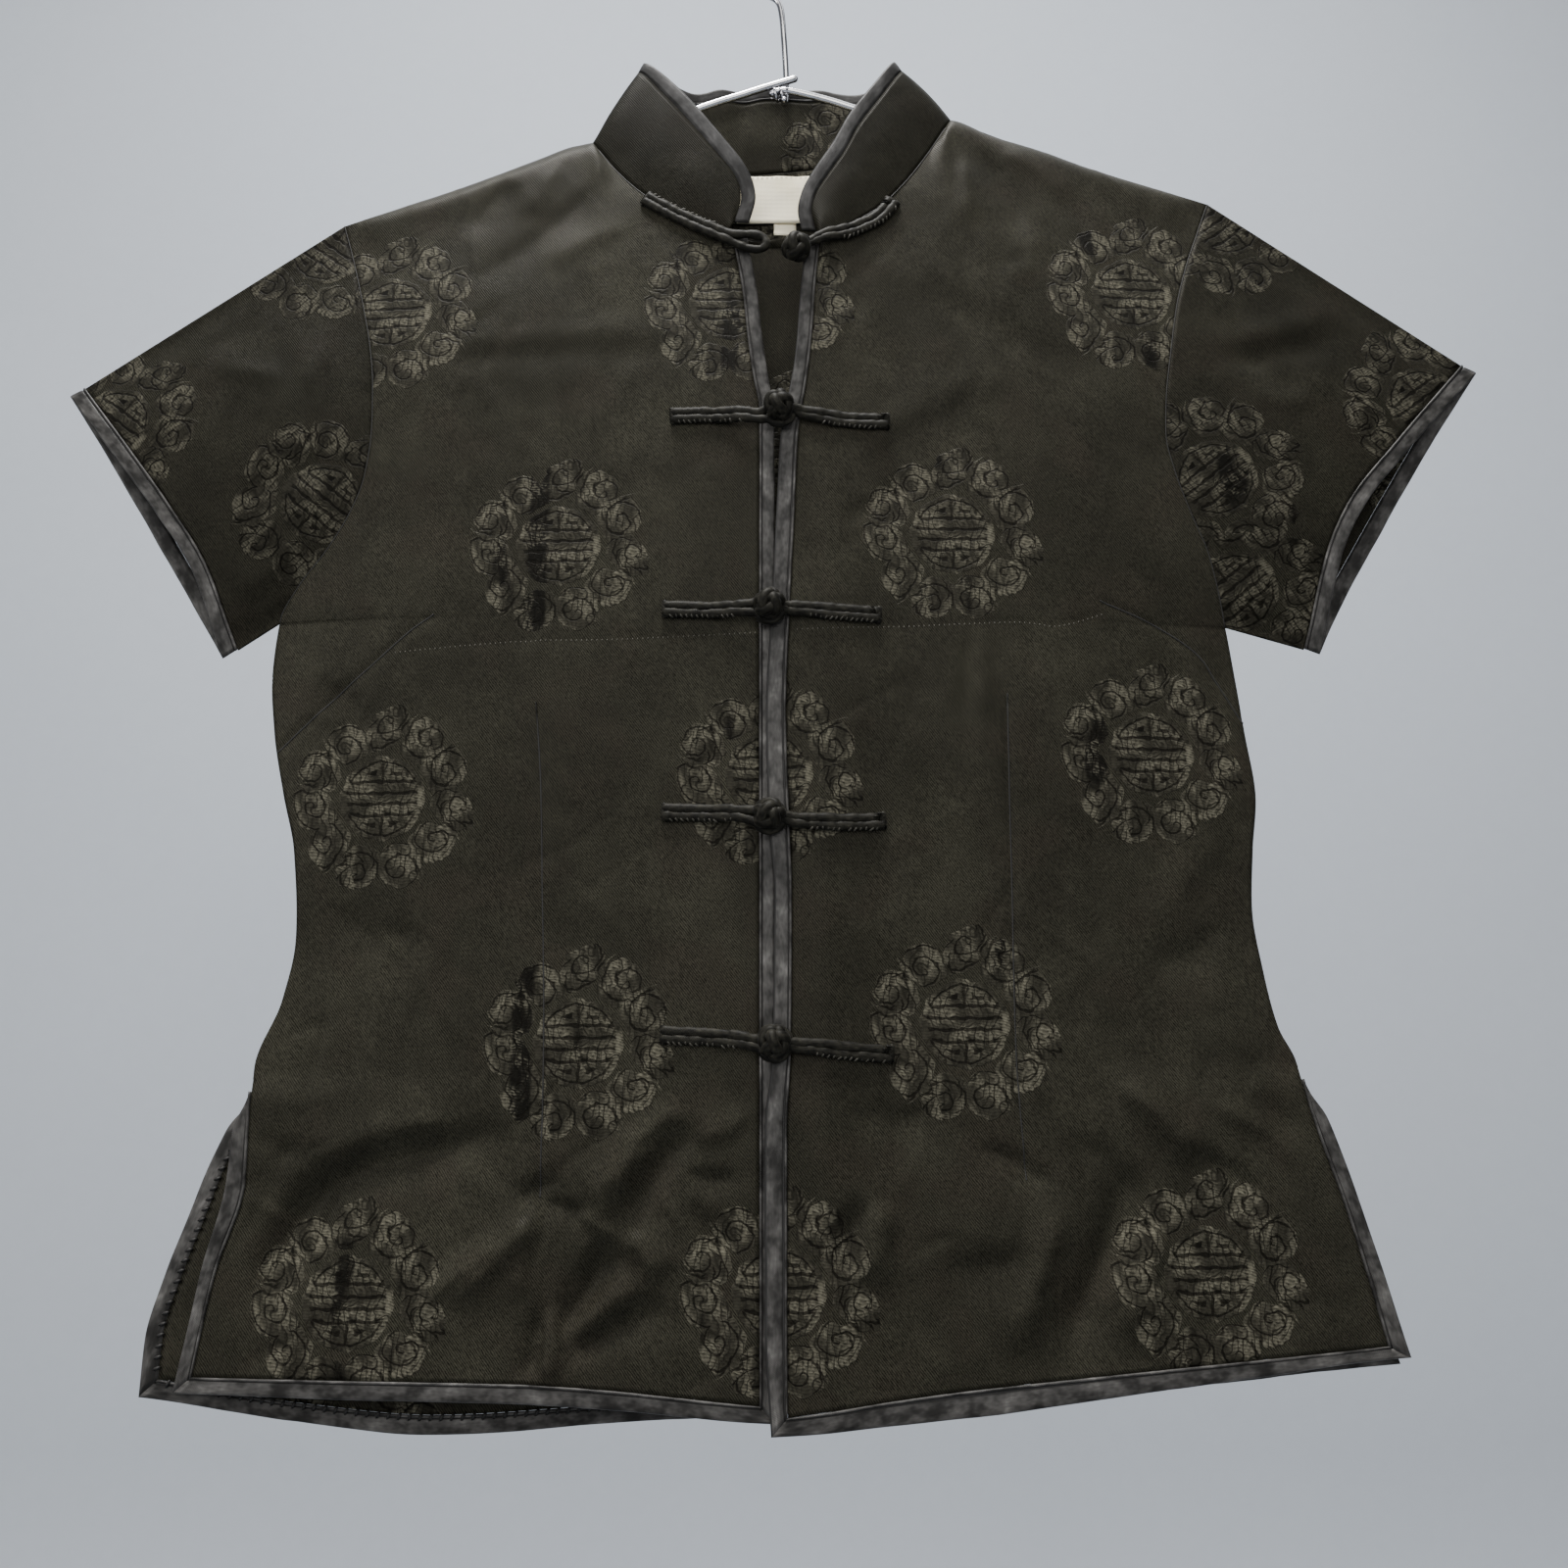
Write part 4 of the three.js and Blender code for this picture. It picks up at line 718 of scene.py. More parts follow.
def figure(graph):
    # returns the woven figure's mask, its weft floats, where it lies in painted shade, and its gaps
    step = 2 * math.pi / roundel["clouds"]
    raw = graph.vector("MULTIPLY", graph.uv("motif"), (1000.0, 1000.0, 1000.0))
    warp = graph.vector("SUBTRACT", graph.noise(graph.scale(raw, 0.13, 0.13, 0.13), 1.0, 2.0, 0.6, True),
                        (0.5, 0.5, 0.5))
    here = graph.vector("ADD", raw, graph.vector("MULTIPLY", warp, (4.2, 4.2, 0.0)))
    x, y = graph.parts(here)[:2]
    radius = graph.vector("LENGTH", here)
    # clouds, each with its own lean, size and curl
    turn = graph.math("ARCTAN2", x, y)
    sector = graph.over(turn, step)
    index = graph.math("ROUND", sector)
    vary = [graph.sine(graph.timesPlus(index, rate, shift))
            for rate, shift in ((2.4, 0.7), (4.1, 1.9), (1.3, 0.0))]
    off = graph.times(graph.minus(sector, index), step)
    across = graph.times(radius, graph.sine(off))
    middle = graph.timesPlus(vary[0], 1.1, roundel["cloudAt"])
    along = graph.minus(graph.times(radius, graph.math("COSINE", off)), middle)
    slope = graph.timesPlus(vary[1], 0.34, 0.1)
    lean = graph.minus(across, graph.times(along, slope))
    wide = graph.timesPlus(vary[2], 0.7, roundel["cloudWide"])
    size = graph.math("SQRT", graph.plus(
        graph.math("POWER", graph.size(graph.over(lean, wide)), 2.3),
        graph.math("POWER", graph.size(graph.over(along, roundel["cloudLong"])), 2.3)))
    curlX = graph.minus(lean, graph.times(vary[2], 2.2))
    curlY = graph.minus(along, graph.timesPlus(vary[0], 2.0, 1.4))
    curlR = graph.math("SQRT", graph.plus(graph.math("POWER", curlX, 2.0), graph.math("POWER", curlY, 2.0)))
    hand = graph.math("SIGN", vary[1])
    curlTurn = graph.over(graph.times(hand, graph.math("ARCTAN2", curlX, curlY)), 2 * math.pi)
    phase = graph.timesPlus(index, 0.37, curlTurn)
    spiral = graph.fromMiddle(graph.plus(graph.over(curlR, roundel["curl"]), phase), roundel["curl"])
    groove = graph.soft(0.62, 0.25, spiral)
    fingers = graph.fromMiddle(graph.timesPlus(curlTurn, 7.0, graph.times(curlR, 0.16)), curlR)
    outerPart = graph.times(graph.soft(5.4, 6.4, curlR), graph.soft(0.2, 0.5, vary[0]))
    groove = graph.most(groove, graph.times(graph.soft(0.75, 0.35, fingers), outerPart))
    scallop = graph.times(graph.sine(graph.times(curlTurn, 43.0)), 0.035)
    body = graph.soft(1.0, 0.94, graph.plus(size, scallop))
    clouds = graph.times(body, graph.soft(20.9, 21.5, radius))
    # horns that curl out between the clouds
    between = graph.math("FLOOR", sector)
    present = graph.soft(-0.1, 0.1, graph.sine(graph.timesPlus(between, 2.2, 0.4)))
    hornOff = graph.times(graph.minus(graph.minus(sector, between), 0.5), step)
    hornOut = graph.over(graph.minus(radius, roundel["hornFrom"]), roundel["hornTo"] - roundel["hornFrom"])
    bend = graph.times(graph.math("POWER", graph.most(hornOut, 0.0), 2.0), 5.0)
    hornAcross = graph.size(graph.minus(graph.times(radius, graph.sine(hornOff)), bend))
    hornHalf = graph.times(graph.minus(1.0, hornOut), roundel["hornWide"] / 2)
    horn = graph.times(graph.soft(0.0, 0.4, graph.minus(hornHalf, hornAcross)), present)
    horn = graph.times(horn, graph.soft(0.0, 0.1, hornOut))
    edgeLine = graph.times(graph.soft(1.1, 0.6, graph.size(graph.minus(hornHalf, hornAcross))),
                           graph.times(present, graph.soft(0.0, 0.1, hornOut)))
    groove = graph.most(groove, edgeLine)
    clouds = graph.most(clouds, horn)
    groove = graph.times(groove, graph.minus(1.0, horn))
    # emblem: bars across the middle, nested corners above and below
    lineHalf = roundel["line"] / 2
    absX, absY = graph.size(x), graph.size(y)
    bar = graph.fromMiddle(graph.plus(graph.over(y, roundel["bar"]), 0.5), roundel["bar"])
    barGap = graph.soft(lineHalf + 0.35, lineHalf - 0.05, graph.minus(roundel["bar"] / 2, bar))
    edgeIn = graph.minus(roundel["emblem"] - 3.1, radius)
    nest = graph.math("MINIMUM", graph.minus(absX, lineHalf),
                      graph.math("MINIMUM", graph.minus(absY, roundel["barsTo"] + lineHalf), edgeIn))
    nestTurn = graph.times(graph.math("FRACT", graph.over(nest, roundel["nest"])), roundel["nest"])
    nestEdge = roundel["nest"] - roundel["line"]
    nestGap = graph.most(graph.soft(nestEdge - 0.15, nestEdge + 0.15, nestTurn), graph.soft(0.25, -0.1, nest))
    above = graph.soft(roundel["barsTo"] - 0.1, roundel["barsTo"] + 0.1, absY)
    emblemGap = graph.mix(above, graph.times(barGap, graph.soft(-0.2, 0.4, edgeIn)), nestGap)
    ringHalf = roundel["ringHalf"]
    ring = graph.size(graph.minus(radius, roundel["emblem"] - ringHalf))
    ring = graph.soft(0.1, 0.45, graph.minus(ringHalf, ring))
    emblemGap = graph.times(emblemGap, graph.minus(1.0, ring))
    emblem = graph.soft(roundel["emblem"] + 0.1, roundel["emblem"] - 0.3, radius)
    mask = graph.most(clouds, emblem)
    gap = graph.most(graph.times(emblemGap, emblem),
                     graph.times(groove, graph.minus(1.0, emblem)))
    # weft floats: short bright dashes, one row above another
    rowTurn = graph.over(graph.timesPlus(x, 0.16, y), roundel["weftPitch"])
    rows = graph.timesPlus(graph.sine(graph.times(rowTurn, 2 * math.pi)), 0.5, 0.5)
    dashes = graph.noise(graph.together(graph.times(x, 0.5), graph.math("FLOOR", rowTurn), 0.0), 1.0, 1.0)
    weft = graph.timesPlus(rows, 0.4, graph.times(graph.soft(0.34, 0.66, dashes), 0.6))
    # floats stand in columns that fan out, with dark lines between them
    fan = graph.plus(graph.over(x, roundel["column"]),
                     graph.times(graph.noise(graph.scale(here, 0.11, 0.07, 1.0), 1.0, 1.0), 5.0))
    fan = graph.fromMiddle(fan, roundel["column"])
    weft = graph.times(weft, graph.soft(roundel["column"] / 2 - 0.05, roundel["column"] / 2 - 0.55, fan))
    lit = graph.noise(graph.scale(here, 0.09, 0.09, 1.0), 1.0, 1.0)
    weft = graph.times(weft, graph.timesPlus(graph.soft(0.4, 0.64, lit), 0.95, 0.2))
    ragged = graph.noise(graph.scale(here, 0.8, 1.7, 1.0), 1.0, 1.0)
    mask = graph.times(mask, graph.soft(0.2, 0.36, ragged))
    # painted shade in upright bands, where crushed floats turn away from the light, and along one press line
    place = graph.object()
    bands = graph.noise(graph.scale(place, 58, 20, 15), 1.0, 1.5, 0.5)
    pressLineShade = graph.size(graph.minus(graph.parts(place)[0], roundel["pressLineShadeAt"]))
    shadedBands = graph.most(graph.soft(0.62, 0.69, bands), graph.soft(0.0055, 0.0035, pressLineShade))
    dark = graph.times(shadedBands, graph.timesPlus(graph.soft(0.75, 0.35, weft), 0.6, 0.4))
    return mask, weft, dark, gap


figuredSatin = makeFiguredSatin("figured satin", True)
# The sleeves and the collar's plain satin are painted darker than the body: painted shade, as they turn up
# towards the lamp above.
shadedSleeveSatin = makeFiguredSatin("sleeve satin", True, 0.7)
shadedPlainSatin = makeFiguredSatin("plain satin", False, 0.52)


biasWeave = 0.0008           # repeat of the slanting weave lines, in metres


def makeBiasSatin(name, light, dark, fresh, rough, cloudScale, level):
    # satin cut on the bias: weave lines slant across the strip, cloudy where it puckers
    graph = Graph(name)
    strip = graph.uv()
    slant = graph.plus(*graph.parts(strip)[:2])
    weave = graph.sine(graph.times(slant, 2 * math.pi / biasWeave))
    cloudy = graph.noise(graph.scale(strip, cloudScale * 1.5, cloudScale, 1), 1.0, 3.0, 0.62)
    fine = graph.noise(graph.scale(strip, 900, 260, 1), 1.0, 2.0)
    tone = graph.blend(graph.soft(0.36, 0.62, cloudy), dark, light)
    tone = graph.blend(graph.times(graph.soft(0.58, 0.74, cloudy), 0.6), tone, fresh)
    shade = graph.timesPlus(weave, 0.08, graph.timesPlus(fine, 1.2, 0.4))
    graph.paint(tone, shade)
    graph.join(graph.timesPlus(cloudy, 0.2, rough - 0.1), graph.shader.inputs["Roughness"])
    graph.bump(graph.plus(graph.times(weave, 0.4), fine), 0.3, 0.0001)
    graph.gloss(level=level, sheen=0.03, sheenRough=0.35, sheenTint=(0.9, 0.9, 0.95, 1))
    return graph.material


bindingSatin = makeBiasSatin("binding satin", (0.047, 0.045, 0.043, 1), (0.0092, 0.0088, 0.0082, 1),
                             (0.125, 0.120, 0.115, 1), 0.38, 62, 0.11)
# the collar's binding is a darker copy of the binding satin: painted shade, as the collar's edges face the
# lamp above
shadedCollarBindingSatin = makeBiasSatin("collar binding satin", (0.0235, 0.0228, 0.0225, 1),
                                   (0.0065, 0.0062, 0.006, 1), (0.058, 0.056, 0.055, 1), 0.4, 62, 0.07)
cordSatin = makeBiasSatin("frog satin", (0.0125, 0.0118, 0.0090, 1), (0.0040, 0.0038, 0.0031, 1),
                          (0.031, 0.029, 0.022, 1), 0.5, 190, 0.06)


def makeThread(name, colour, bright):
    graph = Graph(name)
    where = graph.object()
    ply = graph.noise(where, 1900, 1.0)
    graph.join(graph.blend(ply, colour, bright), graph.shader.inputs["Base Color"])
    graph.bump(ply, 0.5, 0.0001)
    graph.gloss(rough=0.62, level=0.3)
    return graph.material


# near-black: painted shadow along seams, beside binding cords and under a lapping edge, and also the thread
# of the dark hand stitches
seamShadowAndThread = makeThread("seam shadow", (0.0028, 0.0026, 0.0024, 1), (0.006, 0.0055, 0.005, 1))
paleThread = makeThread("worn thread", (0.045, 0.042, 0.034, 1), (0.085, 0.08, 0.068, 1))
frogThread = makeThread("frog thread", (0.012, 0.0112, 0.0085, 1), (0.042, 0.039, 0.03, 1))
creamThread = makeThread("cream thread", (0.55, 0.50, 0.40, 1), (0.75, 0.70, 0.58, 1))


def makeLabelCloth():
    graph = Graph("label cloth")
    where = graph.object()
    weft, warp = 0.0007, 0.0006
    place = graph.parts(where)
    across = graph.sine(graph.times(place[2], 2 * math.pi / weft))
    down = graph.sine(graph.times(place[0], 2 * math.pi / warp))
    weave = graph.plus(across, graph.times(down, 0.7))
    aged = graph.noise(where, 45, 3.0, 0.6)
    colour = graph.blend(graph.soft(0.35, 0.75, aged), (0.98, 0.91, 0.70, 1), (0.92, 0.83, 0.58, 1))
    shade = graph.timesPlus(weave, 0.035, 0.97)
    graph.paint(colour, shade)
    graph.bump(weave, 0.4, 0.00008)
    graph.gloss(rough=0.72, level=0.3, sheen=0.1, sheenRough=0.5)
    return graph.material


def makeChrome():
    graph = Graph("chrome wire")
    where = graph.object()
    drawn = graph.noise(graph.scale(where, 90, 90, 90), 1.0, 2.0)
    scratch = graph.noise(where, 900, 2.0, 0.7)
    colour = graph.blend(graph.soft(0.3, 0.8, drawn), (0.52, 0.52, 0.53, 1), (0.34, 0.34, 0.36, 1))
    graph.join(colour, graph.shader.inputs["Base Color"])
    graph.join(graph.timesPlus(scratch, 0.1, 0.12), graph.shader.inputs["Roughness"])
    graph.bump(drawn, 0.03, 0.0002)
    graph.gloss(metal=1.0)
    return graph.material


labelCloth = makeLabelCloth()
chromeWire = makeChrome()


print("panels")

# centres of the woven roundels on each piece, and their turn in degrees
motifs = {
    "frontRight": [(-102.8, -339, 0), (-178.5, -455.3, 0), (-6.5, -446, 0), (-87.8, -563.5, 0),
                   (-180.4, -669.8, 0), (-2, -665.5, 0), (-25.5, -216.6, 0), (-187.2, -217.5, 0)],
    "frontLeft": [(76.9, -333.5, 0), (164.2, -435.3, 0), (-6.5, -446, 0), (77.6, -555.2, 0), (-2, -665.5, 0),
                  (177, -658.1, 0), (-8, -213, 0), (166.5, -207.6, 0)],
    "back": [(-90, -166, 0), (90, -166, 0), (0, -279, 0), (-180, -279, 0), (180, -279, 0), (-90, -392, 0),
             (90, -392, 0), (0, -505, 0), (-180, -505, 0), (180, -505, 0), (-90, -618, 0), (90, -618, 0),
             (0, -731, 0), (-180, -731, 0), (180, -731, 0)],
    "sleeveRightFront": [(-222, -180, 38), (-316, -274, 38), (-214, -315, 38)],
    "sleeveRightBack": [(-262, -228, 38), (-230, -338, 38), (-330, -300, 38)],
    "sleeveLeftFront": [(200.5, -303.5, -38), (303, -263, -38), (208, -357, -38), (215, -165, -38)],
    "sleeveLeftBack": [(250, -228, -38), (222, -330, -38), (318, -300, -38)],
    "collar": [(39, -125, 0), (-70, -150, 0)],
    "facing": [(-12, -151, 0)],
}


def layMotifs(mesh, chooser):
    # the motif map holds each face's place about its own roundel
    layer = mesh.uv_layers.new(name="motif")
    co = np.zeros(len(mesh.vertices) * 3)
    mesh.vertices.foreach_get("co", co)
    co = co.reshape(-1, 3) / mm
    loops = np.zeros(len(mesh.loops), int)
    mesh.loops.foreach_get("vertex_index", loops)
    starts = np.zeros(len(mesh.polygons), int)
    totals = np.zeros(len(mesh.polygons), int)
    mesh.polygons.foreach_get("loop_start", starts)
    mesh.polygons.foreach_get("loop_total", totals)
    places = co[loops]
    faceOf = np.repeat(np.arange(len(starts)), totals)
    centres = np.stack([np.bincount(faceOf, places[:, k]) / totals for k in range(3)], axis=1)
    out = np.zeros((len(loops), 2))
    for group, chosen in chooser(centres):
        spots = np.array(motifs[group], float)
        off = centres[chosen][:, None, [0, 2]] - spots[None, :, :2]
        nearest = np.argmin((off ** 2).sum(axis=2), axis=1)
        index = np.zeros(len(centres), int)
        index[chosen] = nearest
        inGroup = chosen[faceOf]
        spot = spots[index[faceOf[inGroup]]]
        local = places[inGroup][:, [0, 2]] - spot[:, :2]
        turn = np.radians(spot[:, 2])
        cos, sin = np.cos(turn), np.sin(turn)
        out[inGroup, 0] = (local[:, 0] * cos - local[:, 1] * sin) * mm
        out[inGroup, 1] = (local[:, 0] * sin + local[:, 1] * cos) * mm
    layer.data.foreach_set("uv", out.ravel())


def everywhere(group):
    return lambda centres: [(group, np.ones(len(centres), bool))]


# faces across a panel between its stops, and rows above and below the underarm
panelFaces = {
    "front": {"across": [38, 70], "armRows": 104, "lowRows": 176},
    "back": {"across": [44, 70, 44], "armRows": 76, "lowRows": 120},
}


def panelGrid(faces, parts, innerX, outerX, topZ, bottomZ, underarmZ, pointAt):
    armRows, lowRows = faces["armRows"], faces["lowRows"]
    parts = np.asarray(parts)
    top, bottom = np.full(len(parts), -150.0), np.full(len(parts), -700.0)
    for _ in range(12):      # the top and bottom edges settle after a few rounds
        top = topZ(mix(innerX(top), outerX(top), parts))
        bottom = bottomZ(mix(innerX(bottom), outerX(bottom), parts))
    underarm = underarmZ(parts)
    rows = [mix(top, underarm, (1 - math.cos(math.pi * i / armRows)) / 2) for i in range(armRows)]
    rows += [mix(underarm, bottom, i / lowRows) for i in range(lowRows + 1)]
    z = np.array(rows)
    return pointAt(mix(innerX(z), outerX(z), parts), z)


def spread(stops, counts):
    parts = [stops[0]]
    for start, end, count in zip(stops[:-1], stops[1:], counts):
        parts += [mix(start, end, i / count) for i in range(1, count + 1)]
    return parts


def frontGrid(side):
    centre, tip = centreFront[side]["x"][0], sideEdge[side]["x"][0]
    neck = (neckPoint[side] - centre) / (tip - centre)
    return panelGrid(
        faces=panelFaces["front"],
        parts=spread([0, neck, 1], panelFaces["front"]["across"]),
        innerX=lambda z: look(centreFront[side], "z", "x", z),
        outerX=lambda z: look(frontEdge[side], "z", "x", z),
        topZ=lambda x: look(topEdge[side], "x", "z", x),
        bottomZ=lambda x: look(hem[side], "x", "z", x),
        underarmZ=lambda parts: np.full(len(parts), float(sides[side]["underarmZ"])),
        pointAt=lambda x, z: frontPoint(side, x, z))


def backGrid():
    left, right = sideEdge["left"]["x"][0], sideEdge["right"]["x"][0]
    stops = [(x - right) / (left - right) for x in (right, neckPoint["right"], neckPoint["left"], left)]
    return panelGrid(
        faces=panelFaces["back"],
        parts=spread(stops, panelFaces["back"]["across"]),
        innerX=lambda z: look(backEdge["right"], "z", "x", z),
        outerX=lambda z: look(backEdge["left"], "z", "x", z),
        topZ=lambda x: look(topEdge["back"], "x", "z", x),
        bottomZ=lambda x: look(hem["back"], "x", "z", x),
        underarmZ=lambda parts: mix(sides["right"]["underarmZ"], sides["left"]["underarmZ"], parts),
        pointAt=backPoint)


grids = {"right": frontGrid("right"), "left": frontGrid("left"), "back": backGrid()}


def flatPiece(name, grid, nodes, group, outward=-1):
    bm = bmesh.new()
    gridMesh(bm, grid)
    turnOut(bm, outward)
    piece = finished(name, bm, [figuredSatin], nodes, shell=cloth["thick"])
    layMotifs(piece.data, everywhere(group))
    return piece


frontRight = flatPiece("shirt_front_right", grids["right"], ["front_right"], "frontRight")
frontLeft = flatPiece("shirt_front_left", grids["left"], ["front_left"], "frontLeft")
backPanel = flatPiece("shirt_back", grids["back"], ["back_panel"], "back", outward=1)


print("sleeves")

sleeve = {"gap": 0.1, "depth": 8.5, "swell": 2.5, "around": 66, "along": 50}
hemColumns = "part pipeX pipeZ edgeX edgeZ"
sleeveHem = {
    "right": {
        -1: table(hemColumns, (0, -332.5, -253.5, -339.6, -257.5), (0.3, -303, -291, -311, -293.5),
                  (0.5, -285, -315, -292, -318), (0.75, -266, -344, -273, -346),
                  (1, -250, -384, -256.5, -388.5)),
        1: table(hemColumns, (0, -332.5, -253.5, -339.6, -257.5), (0.3, -308, -293, -314.5, -297),
                 (0.6, -283, -333, -289.5, -337), (0.85, -262.5, -365, -269, -369),
                 (1, -250, -384, -256.5, -388.5)),
    },
    "left": {
        -1: table(hemColumns, (0, 323.4, -241.5, 330.6, -245.3), (0.3, 286, -284, 292, -288),
                  (0.55, 261.4, -314, 267.5, -318), (0.7, 250.5, -336, 257.5, -338.5),
                  (1, 238, -383.7, 245, -386.5)),
        1: table(hemColumns, (0, 323.4, -241.5, 330.6, -245.3), (0.3, 296, -285, 302.5, -288.5),
                 (0.6, 270, -327, 277, -330.5), (0.85, 249, -362, 256, -365.5),
                 (1, 238, -383.7, 245, -386.5)),
    },
}
sleeveFolds = {
    "right": [
        (9, -1.4, [(-226, -196), (-252, -214), (-280, -240)]),
        (6, 1.2, [(-232, -254), (-252, -250), (-272, -246)]),
        (9, -1.5, [(-206, -290), (-232, -300), (-256, -318)]),
        (8, 1.5, [(-216, -330), (-236, -346), (-252, -366)]),
        (5, -1.4, [(-228, -356), (-240, -362), (-248, -374)]),
        (10, 1.2, [(-260, -228), (-282, -262), (-300, -284)]),
        (9, 1, [(-214, -226), (-228, -260), (-236, -292)]),
    ],
    "left": [
        (7, 1.8, [(196, -232), (220, -236), (248, -228), (276, -216)], "step"),
        (9, -1.5, [(200, -210), (226, -244), (244, -266)]),
        (6, 1.3, [(218, -262), (236, -266), (254, -262)]),
        (8, -1.8, [(198, -330), (206, -342), (214, -358)]),
        (9, 1.4, [(214, -306), (232, -324), (246, -346)]),
        (6, -1.3, [(224, -352), (232, -364), (236, -378)]),
        (10, 1.2, [(240, -240), (262, -262), (276, -286)]),
    ],
}


def sleevePoint(side, part, facing, down, edge=False):
    sign, underarmZ = sides[side]["sign"], sides[side]["underarmZ"]
    tipZ = sideEdge[side]["z"][0]
    z = mix(tipZ, underarmZ, part)
    x = look(sideEdge[side], "z", "x", z) + sign * sleeve["gap"]
    line = "edge" if edge else "pipe"
    hemX, hemZ = [np.where(facing < 0, look(sleeveHem[side][-1], "part", line + axis, part),
                           look(sleeveHem[side][1], "part", line + axis, part)) for axis in "XZ"]
    swell = sleeve["swell"] * np.sin(np.pi * part) * np.sin(np.pi * down)
    hemDepth = sleeve["depth"] * np.sin(np.pi * part) ** cloth["armholePower"]
    atArmhole = halfDepth(x, z, topEdge["back"])
    half = mix(atArmhole, hemDepth, smoothStep(0, 1, down)) + swell
    x, z = mix(x, hemX, down), mix(z, hemZ, down)
    room = np.sin(np.pi * part) * smoothStep(0, 0.12, down)
    crease = foldHeight(sleeveFolds[side], x, z) * room * np.where(facing < 0, 1, 0.6)
    crease = crease + wrinkle(x, z, 50.0 + 20 * sign) * room * 1.2
    inside = smoothStep(0, 0.08, part) * smoothStep(1, 0.92, part)
    apart = np.where(np.sin(np.pi * part) > 1e-6, facing, 0)
    half = np.maximum(half * (0.35 + 0.65 * inside) + crease * inside, 0.3)
    return np.stack([x, apart * half, z], axis=-1)


def sleeveRing(side, down, edge=False):
    count = sleeve["around"]
    parts = (1 - np.cos(np.pi * np.arange(count + 1) / count)) / 2
    part = np.concatenate([parts, parts[::-1][1:]])
    facing = np.concatenate([-np.ones(count + 1), np.ones(count)])
    return sleevePoint(side, part, facing, np.full(len(part), float(down)), edge)


for side in sides:
    rings = np.array([sleeveRing(side, i / sleeve["along"]) for i in range(sleeve["along"] + 1)])
    bm = bmesh.new()
    gridMesh(bm, rings, closedAcross=True)
    turnOut(bm)
    piece = finished(f"shirt_sleeve_{side}", bm, [shadedSleeveSatin], [f"sleeve_{side}"],
                     shell=cloth["thick"])
    title = side.capitalize()
    layMotifs(piece.data, lambda centres, title=title: [(f"sleeve{title}Front", centres[:, 1] < 0),
                                                        (f"sleeve{title}Back", centres[:, 1] >= 0)])


print("bindings")

# Section of a binding from its seam outwards: mm from the seam up to the strip, then shares of its width
binding = {
    "gap": 0.15,
    "cord": [(0.0, -0.5), (-0.05, 0.35), (0.05, 0.85), (0.35, 1.12), (0.75, 1.12), (1.05, 0.85), (1.15, 0.4)],
    "strip": [(0.205, 0.0), (0.225, 0.38), (0.27, 0.52), (0.42, 0.56), (0.6, 0.57), (0.78, 0.56), (0.9, 0.5),
              (0.975, 0.3), (1.0, 0.0), (0.97, -0.34), (0.85, -0.5), (0.5, -0.56), (0.25, -0.52)],
    "groove": (5, 8),        # columns of the section that lie in the shadow beside the cord
    "rim": (13, 17),         # columns of a lapping edge, painted shadow where it lies over the other front
    "step": 2.2,
    "pucker": 0.22,
    "waver": 0.3,
    "slitBelow": 8,          # how far under the top of a slit its binding begins
    "slitTip": 1.2,          # and how wide it is there
}


def bindingPiece(name, inner, outer, facing, nodes, closed=False, seed=0.0, step=None, satin=None,
                 laps=False):
    # a bias strip folded round an edge, with a fine cord beside its seam
    step = step or binding["step"]
    inner, outer = np.asarray(inner, float), np.asarray(outer, float)
    run = runAlong(inner)
    at = np.linspace(0, run[-1], max(3, int(run[-1] / step)) + 1)
    inner = np.stack([np.interp(at, run, inner[:, k]) for k in range(3)], axis=1)
    outer = np.stack([np.interp(at, run, outer[:, k]) for k in range(3)], axis=1)
    ways = np.gradient(inner, axis=0)
    if closed:
        ways[0] = ways[-1] = inner[1] - inner[-2]
    across = outer - inner
    wide = np.linalg.norm(across, axis=1)
    across = unit(across)
    up = unit(np.cross(unit(ways), across)) * facing
    rings, uvs = [], []
    for i, start in enumerate(inner):
        ring = []
        t = (at[i] / run[-1]) % 1.0
        phase = (math.cos(2 * math.pi * t) * 9, math.sin(2 * math.pi * t) * 9) if closed else (at[i] / 9, 0)
        pucker = binding["pucker"] * noise.noise((phase[0], phase[1], seed))
        waver = binding["waver"] * noise.noise((phase[0] / 3, phase[1] / 3, seed + 5))
        for offset, lift in binding["cord"]:
            ring.append(start + across[i] * (binding["gap"] + offset) + up[i] * lift)
        for share, lift in binding["strip"]:
            height = lift + pucker * math.sin(math.pi * share) * (1 if lift > 0 else 0.3)
            ring.append(start + across[i] * (share * wide[i] + waver * share) + up[i] * height)
        ring.append(ring[0])
        rings.append(ring)
        girth = runAlong(np.array(ring))
        uvs.append(np.stack([girth, np.full(len(ring), at[i])], axis=1))
    bm = bmesh.new()
    verts = gridMesh(bm, np.array(rings), np.array(uvs), closedAcross=True, closedDown=closed)
    columns = len(rings[0])
    columnOf = {vert: i % columns for i, vert in enumerate(verts) if vert.is_valid}
    # faces under and beside the cord, and under a lapping edge, take the dark seam material: painted shadow
    shadows = [binding["groove"], (0, 1)] + ([binding["rim"]] if laps else [])
    for face in bm.faces:
        spots = [columnOf[vert] for vert in face.verts]
        if any(first <= min(spots) and max(spots) <= last for first, last in shadows):
            face.material_index = 1
    if not closed:
        bmesh.ops.holes_fill(bm, edges=[edge for edge in bm.edges if edge.is_boundary], sides=0)
    return finished(name, bm, [satin or bindingSatin, seamShadowAndThread], nodes, closed=True)


trims = {"front_right": [], "front_left": [], "back": [], "sleeve_right": [], "sleeve_left": [], "collar": []}


